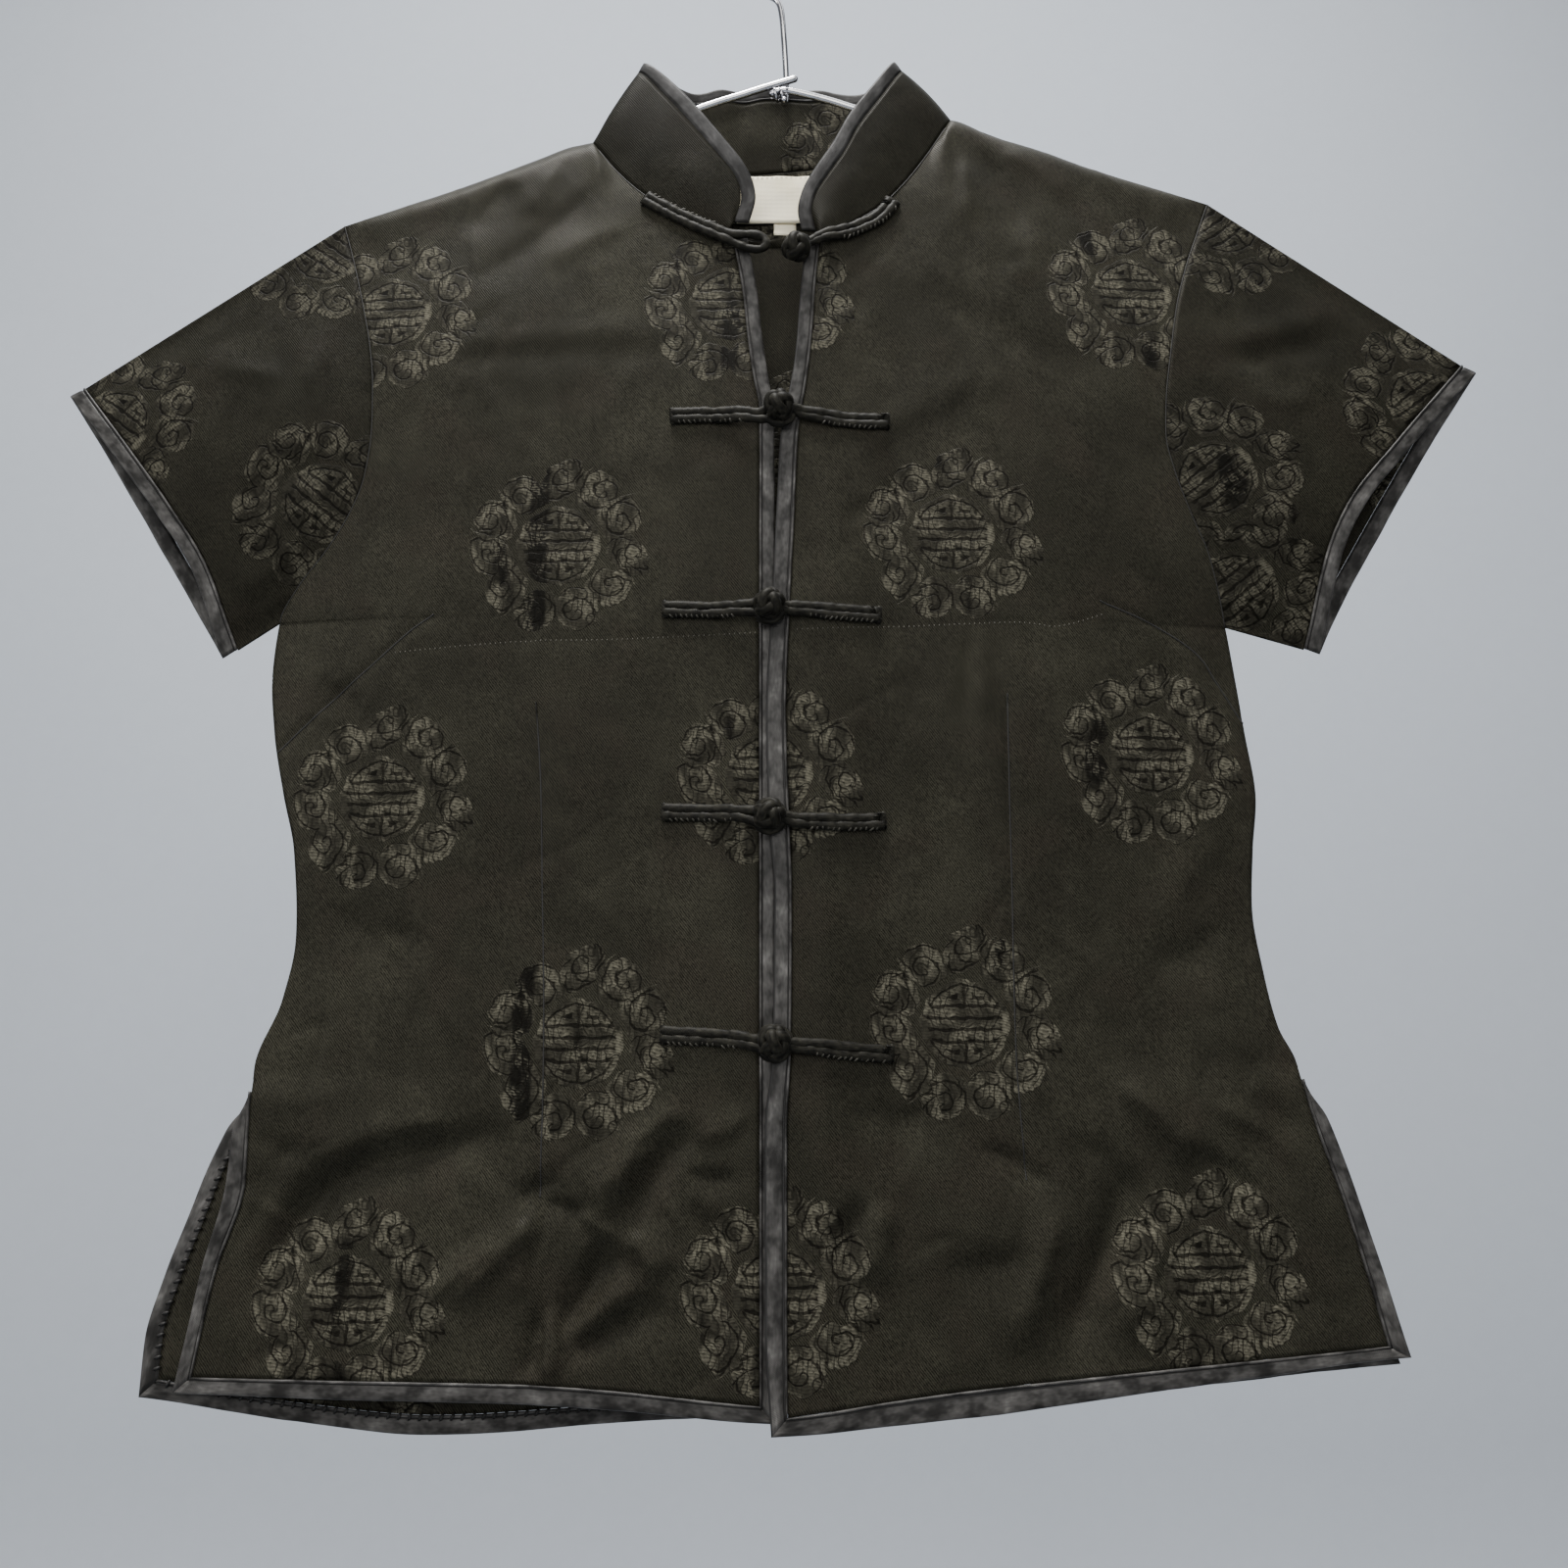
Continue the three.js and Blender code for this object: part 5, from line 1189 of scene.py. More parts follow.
def slitLine(edgePoints, rows, corner, surface, slitZ):
    keep = edgePoints[edgePoints[:, 2] < slitZ - binding["slitBelow"]]
    outer = surface(look(rows, "z", "edge", keep[:, 2]), keep[:, 2])
    blend = smoothStep(keep[0, 2], keep[0, 2] - 16, keep[:, 2])[:, None]
    outer = mix(keep + unit(outer - keep) * binding["slitTip"], outer, blend)
    shift = np.linspace(0, 1, len(outer))[:, None] ** 8
    outer = outer + (corner - outer[-1]) * shift
    return keep, outer


for side in sides:
    sign, slitZ = sides[side]["sign"], sides[side]["slitZ"]
    grid = grids[side]
    surface = lambda x, z, side=side: frontPoint(side, x, z, creases=False)
    centre, edge, hemRow = grid[:, 0], grid[:, -1], grid[-1]
    corner = surface(centre[-1, 0] - sign * look(centreFront[side], "z", "width", centre[-1, 2]),
                     look(hem[side], "x", "edge", centre[-1, 0]))
    slitCorner = surface(frontSlit[side]["edge"][-1], look(hem[side], "x", "edge", frontSlit[side]["x"][-1]))
    width = look(centreFront[side], "z", "width", centre[:, 2])
    centreOuter = surface(centre[:, 0] - sign * width, centre[:, 2])
    centreOuter[:, 1] += centre[:, 1] - surface(centre[:, 0], centre[:, 2])[:, 1]
    centreOuter += (corner - centreOuter[-1]) * (np.linspace(0, 1, len(centreOuter))[:, None] ** 30)
    trims[f"front_{side}"].append(bindingPiece(f"trim_centre_{side}", centre, centreOuter, -sign,
                                               [f"binding_centre_{side}"], seed=3 + sign,
                                               laps=side == "left"))
    hemOuter = surface(hemRow[:, 0], look(hem[side], "x", "edge", hemRow[:, 0]))
    hemOuter[:, 1] = hemRow[:, 1]
    ease = np.linspace(0, 1, len(hemOuter))[:, None]
    hemOuter = hemOuter + (corner - hemOuter[0]) * (1 - ease) ** 30 + (slitCorner - hemOuter[-1]) * ease ** 30
    trims[f"front_{side}"].append(bindingPiece(f"trim_hem_{side}", hemRow, hemOuter, -sign,
                                               [f"binding_hem_{side}"], seed=13 + sign))
    slitInner, slitOuter = slitLine(edge, frontSlit[side], slitCorner, surface, slitZ)
    trims[f"front_{side}"].append(bindingPiece(f"trim_slit_{side}", slitInner, slitOuter, sign,
                                               [f"binding_slit_{side}"], seed=23 + sign))

backCorner = {}
slitSeams = {}
for side in sides:
    sign, slitZ = sides[side]["sign"], sides[side]["slitZ"]
    backCorner[side] = backPoint(backSlit[side]["edge"][-1],
                                 look(hem["back"], "x", "edge", backSlit[side]["x"][-1]))
    edge = grids["back"][:, 0 if side == "right" else -1]
    inner, outer = slitLine(edge, backSlit[side], backCorner[side], backPoint, slitZ)
    slitSeams[side] = inner
    trims["back"].append(bindingPiece(f"trim_back_slit_{side}", inner, outer, -sign,
                                      [f"binding_back_slit_{side}"], seed=33 + sign))
hemRow = grids["back"][-1]
hemOuter = backPoint(hemRow[:, 0], look(hem["back"], "x", "edge", hemRow[:, 0]))
hemOuter[:, 1] = hemRow[:, 1]
ease = np.linspace(0, 1, len(hemOuter))[:, None]
hemOuter = hemOuter + (backCorner["right"] - hemOuter[0]) * (1 - ease) ** 40
hemOuter = hemOuter + (backCorner["left"] - hemOuter[-1]) * ease ** 40
trims["back"].append(bindingPiece("trim_back_hem", hemRow, hemOuter, -1, ["binding_back_hem"], seed=44))
for side in sides:
    trims[f"sleeve_{side}"].append(bindingPiece(
        f"trim_sleeve_{side}", sleeveRing(side, 1), sleeveRing(side, 1, True), sides[side]["sign"],
        [f"binding_sleeve_{side}"], closed=True, seed=52))


print("collar")

# from the right front end round the back to the left front end; topY is negative in front
collarRows = table(
    "seamX pipeX pipeZ edgeX edgeZ topY",
    (-26.5, -24, -172, -16.8, -172.5, -12.5), (-36, -20.9, -159, -13.6, -158, -12.3),
    (-47, -24, -146, -18, -142, -11.5), (-58, -36, -128.5, -30, -123.5, -10),
    (-70, -51, -108, -45, -102.5, -7.5), (-82, -62, -93.5, -56.5, -88, -5),
    (-91, -69.5, -84, -66.5, -78, -2.9), (-94.9, -73, -81, -70.3, -75.5, 0),
    (-88, -67, -86.5, -64.5, -79.5, 3), (-74, -58, -90.5, -56.5, -83.5, 5),
    (-58, -46, -93.4, -46, -86.4, 7), (-38, -31, -92, -31, -85, 8.3), (-18, -14, -90.5, -14, -83.5, 9),
    (0, 0, -90, 0, -83, 9.2), (17, 14, -91, 14, -84, 9), (35, 28, -93.5, 28, -86.5, 8),
    (52, 40, -94.5, 40, -87.5, 6.5), (66, 49, -90, 47, -82.8, 4.8), (77, 55, -85, 51.8, -78.6, 2.9),
    (83, 59, -80, 55.6, -74.5, 0), (79.2, 56, -84.5, 52.5, -78, -2.9), (70, 48, -97.5, 43.5, -91.5, -5),
    (60, 37, -115, 31.5, -110, -7.5), (48, 29, -132, 23, -127.5, -9.5), (37.5, 21.5, -145, 15, -141.5, -11),
    (28, 15.6, -156, 9, -154, -12), (21.5, 13.4, -166, 6.6, -166, -12.5),
    (18.6, 15.6, -177, 8.6, -176.5, -12.7))
collar = {"gap": 0.35, "thick": 1.1, "rows": 18, "step": 1.9, "bow": 1.1, "ripple": 0.6}

seamPoints, pipePoints, collarEdge = [], [], []
for i in range(len(collarRows["seamX"])):
    seamX, topY = collarRows["seamX"][i], collarRows["topY"][i]
    if topY > 0:
        seam = backPoint(seamX, look(topEdge["back"], "x", "z", seamX))
    elif topY == 0:
        seam = np.array([seamX, 0, look(topEdge["back"], "x", "z", seamX)])
    else:
        side = "right" if seamX < 0 else "left"
        seam = frontPoint(side, seamX, look(topEdge[side], "x", "z", seamX), creases=False)
    seamPoints.append(seam)
    pipePoints.append([collarRows["pipeX"][i], topY, collarRows["pipeZ"][i]])
    collarEdge.append([collarRows["edgeX"][i], topY, collarRows["edgeZ"][i]])


def fineRows(*lines):
    # several lines of points, smoothed together at the same places along them
    width = sum(len(line[0]) for line in lines)
    packed = np.concatenate([np.asarray(line, float) for line in lines], axis=1)
    fine = rounded(packed, collar["step"] * 1.6)
    return [fine[:, k:k + 3] for k in range(0, width, 3)]


seamLine, pipeLine, edgeLine = fineRows(seamPoints, pipePoints, collarEdge)
seamLine = seamLine + unit(pipeLine - seamLine) * collar["gap"]
# behind the neck the edge waves a little
wave = np.array([noise.noise((x / 13, 5.0, 2.0)) for x in pipeLine[:, 0]])
wave = wave * smoothStep(1, 5, pipeLine[:, 1])
pipeLine = pipeLine + wave[:, None] * np.array([0, -0.8, 1.6])
edgeLine = edgeLine + wave[:, None] * np.array([0, -0.8, 1.9])
collarGrid = []
outwards = unit(np.cross(np.gradient(seamLine, axis=0), pipeLine - seamLine))
outwards *= np.where(np.sign(outwards[:, 1:2]) * np.sign(pipeLine[:, 1:2] + 1e-6) < 0, -1, 1)
alongCollar = np.linspace(0, 1, len(seamLine))
for i in range(collar["rows"] + 1):
    part = i / collar["rows"]
    bow = collar["bow"] * math.sin(math.pi * part) * np.where(pipeLine[:, 1] > 0, 0.3, 1)
    ripple = [noise.noise((t * 14, part * 1.4, 7.0)) + 1.3 * (y > 1) * noise.noise((t * 34, 2.2, 3.0))
              for t, y in zip(alongCollar, pipeLine[:, 1])]
    ripple = np.array(ripple) * collar["ripple"] * math.sin(math.pi * part)
    collarGrid.append(mix(seamLine, pipeLine, part) + outwards * (bow + ripple)[:, None])
collarGrid = np.array(collarGrid)
bm = bmesh.new()
gridMesh(bm, collarGrid)
turnOut(bm)
collarPiece = finished("shirt_collar", bm, [shadedPlainSatin, figuredSatin], ["collar"],
                       shell=collar["thick"], offset=-0.2, inner=1)
layMotifs(collarPiece.data, everywhere("collar"))
trims["collar"].append(bindingPiece("trim_collar", pipeLine, edgeLine, 1, ["binding_collar"], seed=61,
                                    step=1.6, satin=shadedCollarBindingSatin))


print("label")

label = {"left": -27, "right": 23, "top": -133, "bottom": -158.5, "lift": 1.9, "thick": 0.5}
sizeTab = {"left": -5, "right": 6, "top": -154, "bottom": -164.5, "lift": 1.0, "thick": 0.4}
facing = {"left": -66, "right": 62, "top": -131.5, "bottom": -171, "lift": 0.55, "thick": 0.35}


def innerPatch(name, size, material, nodes, group=None, spans=(24, 14)):
    # a small cloth sewn inside the back of the neck
    across = np.linspace(size["left"], size["right"], spans[0] + 1)
    down = np.linspace(size["top"], size["bottom"], spans[1] + 1)[:, None]
    x, z = np.broadcast_arrays(across[None, :], down)
    high = size["top"] - size["bottom"]
    if name == "neck_facing":
        z = mix(np.maximum(look(topEdge["back"], "x", "z", x) - 0.8, z), z, (size["top"] - z) / high)
    grid = backPoint(x, z, -size["lift"])
    grid[..., 1] += 0.25 * np.sin((x - size["left"]) / 7.0) * (size["top"] - z) / high
    bm = bmesh.new()
    gridMesh(bm, grid)
    turnOut(bm, -1)
    piece = finished(name, bm, [material], nodes, shell=size["thick"])
    if group:
        layMotifs(piece.data, everywhere(group))
    return piece


labelPiece = innerPatch("bare_label", label, labelCloth, ["neck_label"])
tabPiece = innerPatch("bare_tab", sizeTab, labelCloth, ["size_tab"], spans=(8, 8))
facingPiece = innerPatch("neck_facing", facing, figuredSatin, [], "facing", spans=(50, 18))


print("seams and stitches")


def tubeRings(line, radius, facets, flat=1.0, roundEnds=True):
    # rings about a line; the ring's frame turns with the line and starts facing the viewer
    line = np.asarray(line, float)
    radius = np.broadcast_to(np.asarray(radius, float), len(line)).copy()
    ways = unit(np.gradient(line, axis=0))
    up = np.array([0.0, -1.0, 0.0])
    ups = []
    for way in ways:
        up = up - way * np.dot(up, way)
        up = up / max(np.linalg.norm(up), 1e-6)
        ups.append(up)
    ups = np.array(ups)
    across = np.cross(ways, ups)
    if roundEnds:
        caps = np.array([0.0, 0.5, 0.85])
        head = [line[0] - ways[0] * radius[0] * math.sqrt(1 - c * c) * 0.8 for c in caps]
        tail = [line[-1] + ways[-1] * radius[-1] * math.sqrt(1 - c * c) * 0.8 for c in caps[::-1]]
        line = np.concatenate([head, line, tail])
        radius = np.concatenate([caps * radius[0], radius, caps[::-1] * radius[-1]])
        ups = np.concatenate([ups[[0, 0, 0]], ups, ups[[-1, -1, -1]]])
        across = np.concatenate([across[[0, 0, 0]], across, across[[-1, -1, -1]]])
    angles = np.linspace(0, 2 * math.pi, facets + 1)
    rings = line[:, None] + radius[:, None, None] * (np.cos(angles)[None, :, None] * ups[:, None] * flat
                                                     + np.sin(angles)[None, :, None] * across[:, None])
    run = runAlong(line)
    girth = angles / (2 * math.pi) * 2 * math.pi * np.median(radius)
    uv = np.stack(np.broadcast_arrays(girth[None, :], run[:, None]), axis=-1)
    return rings, uv


def addTube(bm, line, radius, facets=8, flat=1.0, roundEnds=True, closed=False):
    if closed:
        line = np.concatenate([line, line[:1]])
        roundEnds = False
    rings, uv = tubeRings(line, radius, facets, flat, roundEnds)
    if closed:
        rings[-1] = rings[0]
    verts = gridMesh(bm, rings, uv, closedAcross=True, closedDown=closed)
    if roundEnds:
        alive = [vert for vert in verts if vert.is_valid]
        bmesh.ops.remove_doubles(bm, verts=alive, dist=3e-6)


# dark tubes along each seam: painted shadow of the seam line
def seamPiece(name, lines, radius, material, facets=6):
    bm = bmesh.new()
    for line in lines:
        addTube(bm, evenly(line, 2.0), radius, facets, flat=0.7)
    return finished(name, bm, [material], closed=True)


def onFront(side, line, lift, step=2.0):
    flat = rounded(np.asarray(line, float), step)
    return frontPoint(side, flat[:, 0], flat[:, 1], lift)


sewing = {
    "dart": 0.4,             # thickness of a seam's shadow line, as a radius
    "seam": 0.3,
    "neckSeam": 0.32,
    "prick": {"pitch": 2.3, "long": 0.95, "radius": 0.2},
    "hand": {"pitch": 4.4, "long": 3.4, "radius": 0.75},
    "label": {"pitch": 1.6, "long": 1.4, "radius": 0.16, "inset": 1.5, "below": 0.8},
}
half = cloth["thick"] / 2
for side in sides:
    lines = [onFront(side, line, half + 0.02) for line in dartSeams[side].values()]
    seamPiece(f"dart_seam_shadows_{side}", lines, sewing["dart"], seamShadowAndThread)
    underarmZ = sides[side]["underarmZ"]
    edge = grids[side][:, -1]
    armhole = edge[edge[:, 2] > underarmZ]
    armhole = armhole + np.array([0, -half + 0.05, 0])
    backEdgeLine = grids["back"][:, 0 if side == "right" else -1]
    backArmhole = backEdgeLine[backEdgeLine[:, 2] > underarmZ] + np.array([0, half - 0.05, 0])
    sideSeam = edge[(edge[:, 2] <= underarmZ) & (edge[:, 2] > sides[side]["slitZ"] - 4)]
    sideSeam = sideSeam + np.array([0.1 * sides[side]["sign"], seamHalf, 0])
    top = grids[side][0]
    shoulder = top[(top[:, 0] < neckPoint["right"]) | (top[:, 0] > neckPoint["left"])]
    shoulder = shoulder + np.array([0, seamHalf, 0.12])
    seamPiece(f"body_seam_shadows_{side}", [armhole, backArmhole, sideSeam, shoulder], sewing["seam"], seamShadowAndThread)
neckSeam = seamLine - unit(pipeLine - seamLine) * 0.2 + outwards * 0.35
seamPiece("neck_seam_shadow", [neckSeam], sewing["neckSeam"], seamShadowAndThread)


def stitches(name, places, ways, ups, long, radius, material, bend=0.3):
    # short threads, each with a few faces, dipping into the cloth at both ends
    ways, ups = np.broadcast_to(ways, places.shape), np.broadcast_to(ups, places.shape)
    bm = bmesh.new()
    for place, way, up, reach in zip(places, ways, ups, np.broadcast_to(long, len(places))):
        bow = up * radius * bend * 2
        line = [place + way * reach * t + bow * (1 - (2 * t) ** 2) for t in (-0.5, -0.2, 0.2, 0.5)]
        rings, uv = tubeRings(line, np.array([0.4, 1, 1, 0.4]) * radius, 5, roundEnds=False)
        gridMesh(bm, rings, uv, closedAcross=True)
    bmesh.ops.holes_fill(bm, edges=[edge for edge in bm.edges if edge.is_boundary], sides=0)
    return finished(name, bm, [material], closed=True)


toViewer = np.array([0.0, -1.0, 0.0])
prick, handSewn, labelSewn = sewing["prick"], sewing["hand"], sewing["label"]
for side in sides:
    line = evenly(rounded(prickStitches[side], 1.0), prick["pitch"])
    points = frontPoint(side, line[:, 0], line[:, 1], half - 0.08)
    stitches(f"prick_stitches_{side}", points, unit(np.array([0.1, 0, 1.0])), toViewer, prick["long"],
             prick["radius"], paleThread)

# hand stitches that hold the binding's inner edge along the back hem and slits, large and near-black: thread
# with painted shadow where the stitches pull
for name, line, slant, shift in (("hem", hemRow, (0.5, 0, 1.0), (0, -0.8, -0.9)),
                                 ("slit_right", slitSeams["right"], (1.0, 0, 0.35), (-0.9, -0.8, 0)),
                                 ("slit_left", slitSeams["left"], (1.0, 0, -0.35), (0.9, -0.8, 0))):
    inside = evenly(line, handSewn["pitch"])[1:-1]
    stitches(f"{name}_stitches", inside + np.array(shift), unit(np.array(slant)), toViewer, handSewn["long"],
             handSewn["radius"], seamShadowAndThread)

# small stitches along the label's top edge, closer at its corners
inset, pitch = labelSewn["inset"], labelSewn["pitch"]
corners = [label["left"] + inset + k * pitch for k in range(4)]
corners += [label["right"] - inset - k * pitch for k in range(4)]
corners += list(np.arange(label["left"] + 9, label["right"] - 8, 2.4))
places = backPoint(np.array(corners), label["top"] - labelSewn["below"], -label["lift"] - 0.3)
stitches("label_stitches", places, np.array([1.0, 0, 0]), toViewer, labelSewn["long"], labelSewn["radius"],
         creamThread)


print("frogs")

frogLook = {
    "tube": 2.15,
    "pitch": 3.35,
    "flat": 0.82,
    "lumpy": 0.2,
    "rest": 1.75,            # height of the cord's middle over the cloth's middle
    "overBinding": 2.9,
    "eye": 6.2,
    "knotCord": 2.5,
    "knotBall": 5.1,
    "step": 1.1,
    "facets": 10,
    "openDrop": 3.8,         # how far the open knot hangs below the buttoned ones' way
    "openEye": [(0.12, 2.6), (0.5, 3.8), (0.86, 3.2), (1.0, 0), (0.86, -3.2), (0.5, -3.8), (0.12, -2.6)],
    "eyeOpening": 26,        # degrees left open where the eye meets the two cords
    "endBar": 1.25,
    "stitchPitch": 2.4,
    "stitchLong": 2.4,
    "stitchRadius": 0.46,
    "stitchTilt": 0.5,
    "loopSewn": 0.86,        # share of each half that is stitched down
    "stemSewn": 0.8,
    "stitchUneven": 1.6,
}
frogs = [
    {"name": "frog_1", "loop": [(-66, -158.5), (-52, -168), (-36, -177), (-24, -183)], "knot": (6, -186),
     "stem": [(52, -160), (45, -169.5), (30, -178.6), (16, -183.4)], "open": True, "eyeEnd": (-8.5, -186.2)},
    {"name": "frog_2", "loop": [(-51, -275.5), (-34, -275.2), (-20, -276.2), (-11, -277.8)], "eyeLow": 1.4,
     "stem": [(47, -279), (30, -278.6), (17, -277), (8, -275.5)], "knot": (-2.3, -274)},
    {"name": "frog_3", "loop": [(-53, -370), (-36, -370.6), (-22, -371), (-14, -371.2)],
     "stem": [(42, -373), (26, -372.4), (10, -371.4), (1, -371)], "knot": (-6.7, -370.5)},
    {"name": "frog_4", "loop": [(-52, -463), (-36, -463.4), (-22, -464.4), (-14, -466)], "knot": (-6.5, -466),
     "stem": [(43, -467), (26, -468), (10, -468), (1, -467)]},
    {"name": "frog_5", "loop": [(-51, -560), (-34, -561), (-20, -562.4), (-12, -564)], "knot": (-4.1, -564),
     "stem": [(45, -568), (28, -567), (12, -565.4), (3, -565)]},
]


def strapLine(side, points, liftEnd, flatFor=0.45):
    # middle of a strap laid on the cloth and rising over the bindings
    line = rounded(np.array(points, float), frogLook["step"])
    part = np.linspace(0, 1, len(line))
    lift = mix(frogLook["rest"], liftEnd, smoothStep(flatFor, 0.92, part))
    return frontPoint(side, line[:, 0], line[:, 1], lift)


def aside(line, distance):
    # the line moved along the cloth, square to its own way
    ways = np.gradient(line, axis=0)
    ways[:, 1] = 0
    ways = unit(ways)
    return line + np.stack([-ways[:, 2], np.zeros(len(line)), ways[:, 0]], axis=1) * distance


def buttonKnot(bm, centre, turn):
    # an interlaced ball: three leads and four bights, over and under in turn
    t = np.linspace(0, 2 * math.pi, 220, endpoint=False)
    around, up = 3 * t, np.cos(4 * t) * math.radians(66)
    out = frogLook["knotBall"] + 0.62 * np.sin(8 * t + 0.2)
    level = out * np.cos(up)
    ball = np.stack([level * np.cos(around), level * np.sin(around), out * np.sin(up)], axis=1)
    tilt, lean, roll = [math.radians(degrees) for degrees in turn]
    spin = Matrix.Rotation(roll, 3, "Y") @ Matrix.Rotation(tilt, 3, "X") @ Matrix.Rotation(lean, 3, "Z")
    squash = (1, 0.86, 1)
    line = ball @ np.array(spin).T * np.array(squash) + centre
    # frame from the ball's middle, so that the tube closes without a twist
    ways = unit(np.roll(line, -1, axis=0) - np.roll(line, 1, axis=0))
    ups = line - centre
    ups = unit(ups - ways * np.sum(ups * ways, axis=1, keepdims=True))
    across = np.cross(ways, ups)
    facets = frogLook["facets"]
    angles = np.linspace(0, 2 * math.pi, facets + 1)
    radius = frogLook["knotCord"]
    rings = line[:, None] + radius * (np.cos(angles)[None, :, None] * ups[:, None] * 0.8
                                      + np.sin(angles)[None, :, None] * across[:, None])
    rings = np.concatenate([rings, rings[:1]])
    run = runAlong(rings[:, 0])
    uv = np.stack(np.broadcast_arrays((angles * radius)[None, :], run[:, None]), axis=-1)
    gridMesh(bm, rings, uv, closedAcross=True, closedDown=True)
    inside = (frogLook["knotBall"] - 0.5) * mm
    core = bmesh.ops.create_uvsphere(bm, u_segments=16, v_segments=10, radius=inside)
    bmesh.ops.scale(bm, vec=squash, verts=core["verts"])
    bmesh.ops.translate(bm, vec=Vector(centre * mm), verts=core["verts"])


def unevenRadius(line, radius):
    # a sewn satin tube is uneven along its length
    lumpy = frogLook["lumpy"]
    return [radius * (1 + lumpy * noise.noise((x / 3.1, y / 3.1, z / 3.1))
                      + lumpy * 0.6 * noise.noise((x / 1.3, y / 1.3, z / 1.3))) for x, y, z in line]


def strapEnd(bm, line):
    # the turned-under end stands across both cords
    way = unit((line[0] - line[4]) * np.array([1, 0, 1]))
    across = np.array([-way[2], 0, way[0]])
    reach = frogLook["pitch"] / 2 + frogLook["tube"] * 0.75
    middle = line[0] + way * 0.7 + np.array([0, -0.15, 0])
    bar = [middle + across * reach * t + np.array([0, 0.5 * t * t, 0]) for t in np.linspace(-1, 1, 9)]
    addTube(bm, np.array(bar), frogLook["endBar"], frogLook["facets"], flat=0.9)


def whipStitches(name, strap, share, low):
    # slanted stitches over the strap's lower or upper edge, from its sewn end
    line = strap[: int(len(strap) * share)]
    hand = low * (1 if strap[-1, 0] > strap[0, 0] else -1)
    edgeLine = aside(line, hand * (frogLook["pitch"] / 2 + frogLook["tube"] * 0.8))
    edgeLine = evenly(edgeLine, frogLook["stitchPitch"])[1:-1]
    ways = np.gradient(edgeLine, axis=0)
    across = unit(np.stack([-ways[:, 2], np.zeros(len(ways)), ways[:, 0]], axis=1)) * hand
    uneven = np.array([noise.noise((x / 1.7, 2.1, z / 1.7)) for x, z in edgeLine[:, [0, 2]]])
    tilt = frogLook["stitchTilt"] + uneven * frogLook["stitchUneven"]
    slanted = unit(across + unit(ways) * tilt[:, None] + np.array([0, 0.55, 0]))
    ups = unit(across * 0.6 + np.array([0, -1, 0]))
    places = edgeLine + across * (uneven * 0.9 - 0.5)[:, None] + np.array([0, -0.35, 0])
    long = frogLook["stitchLong"] + uneven * frogLook["stitchUneven"]
    return stitches(name, places, slanted, ups, long, frogLook["stitchRadius"], frogThread, 0.9)


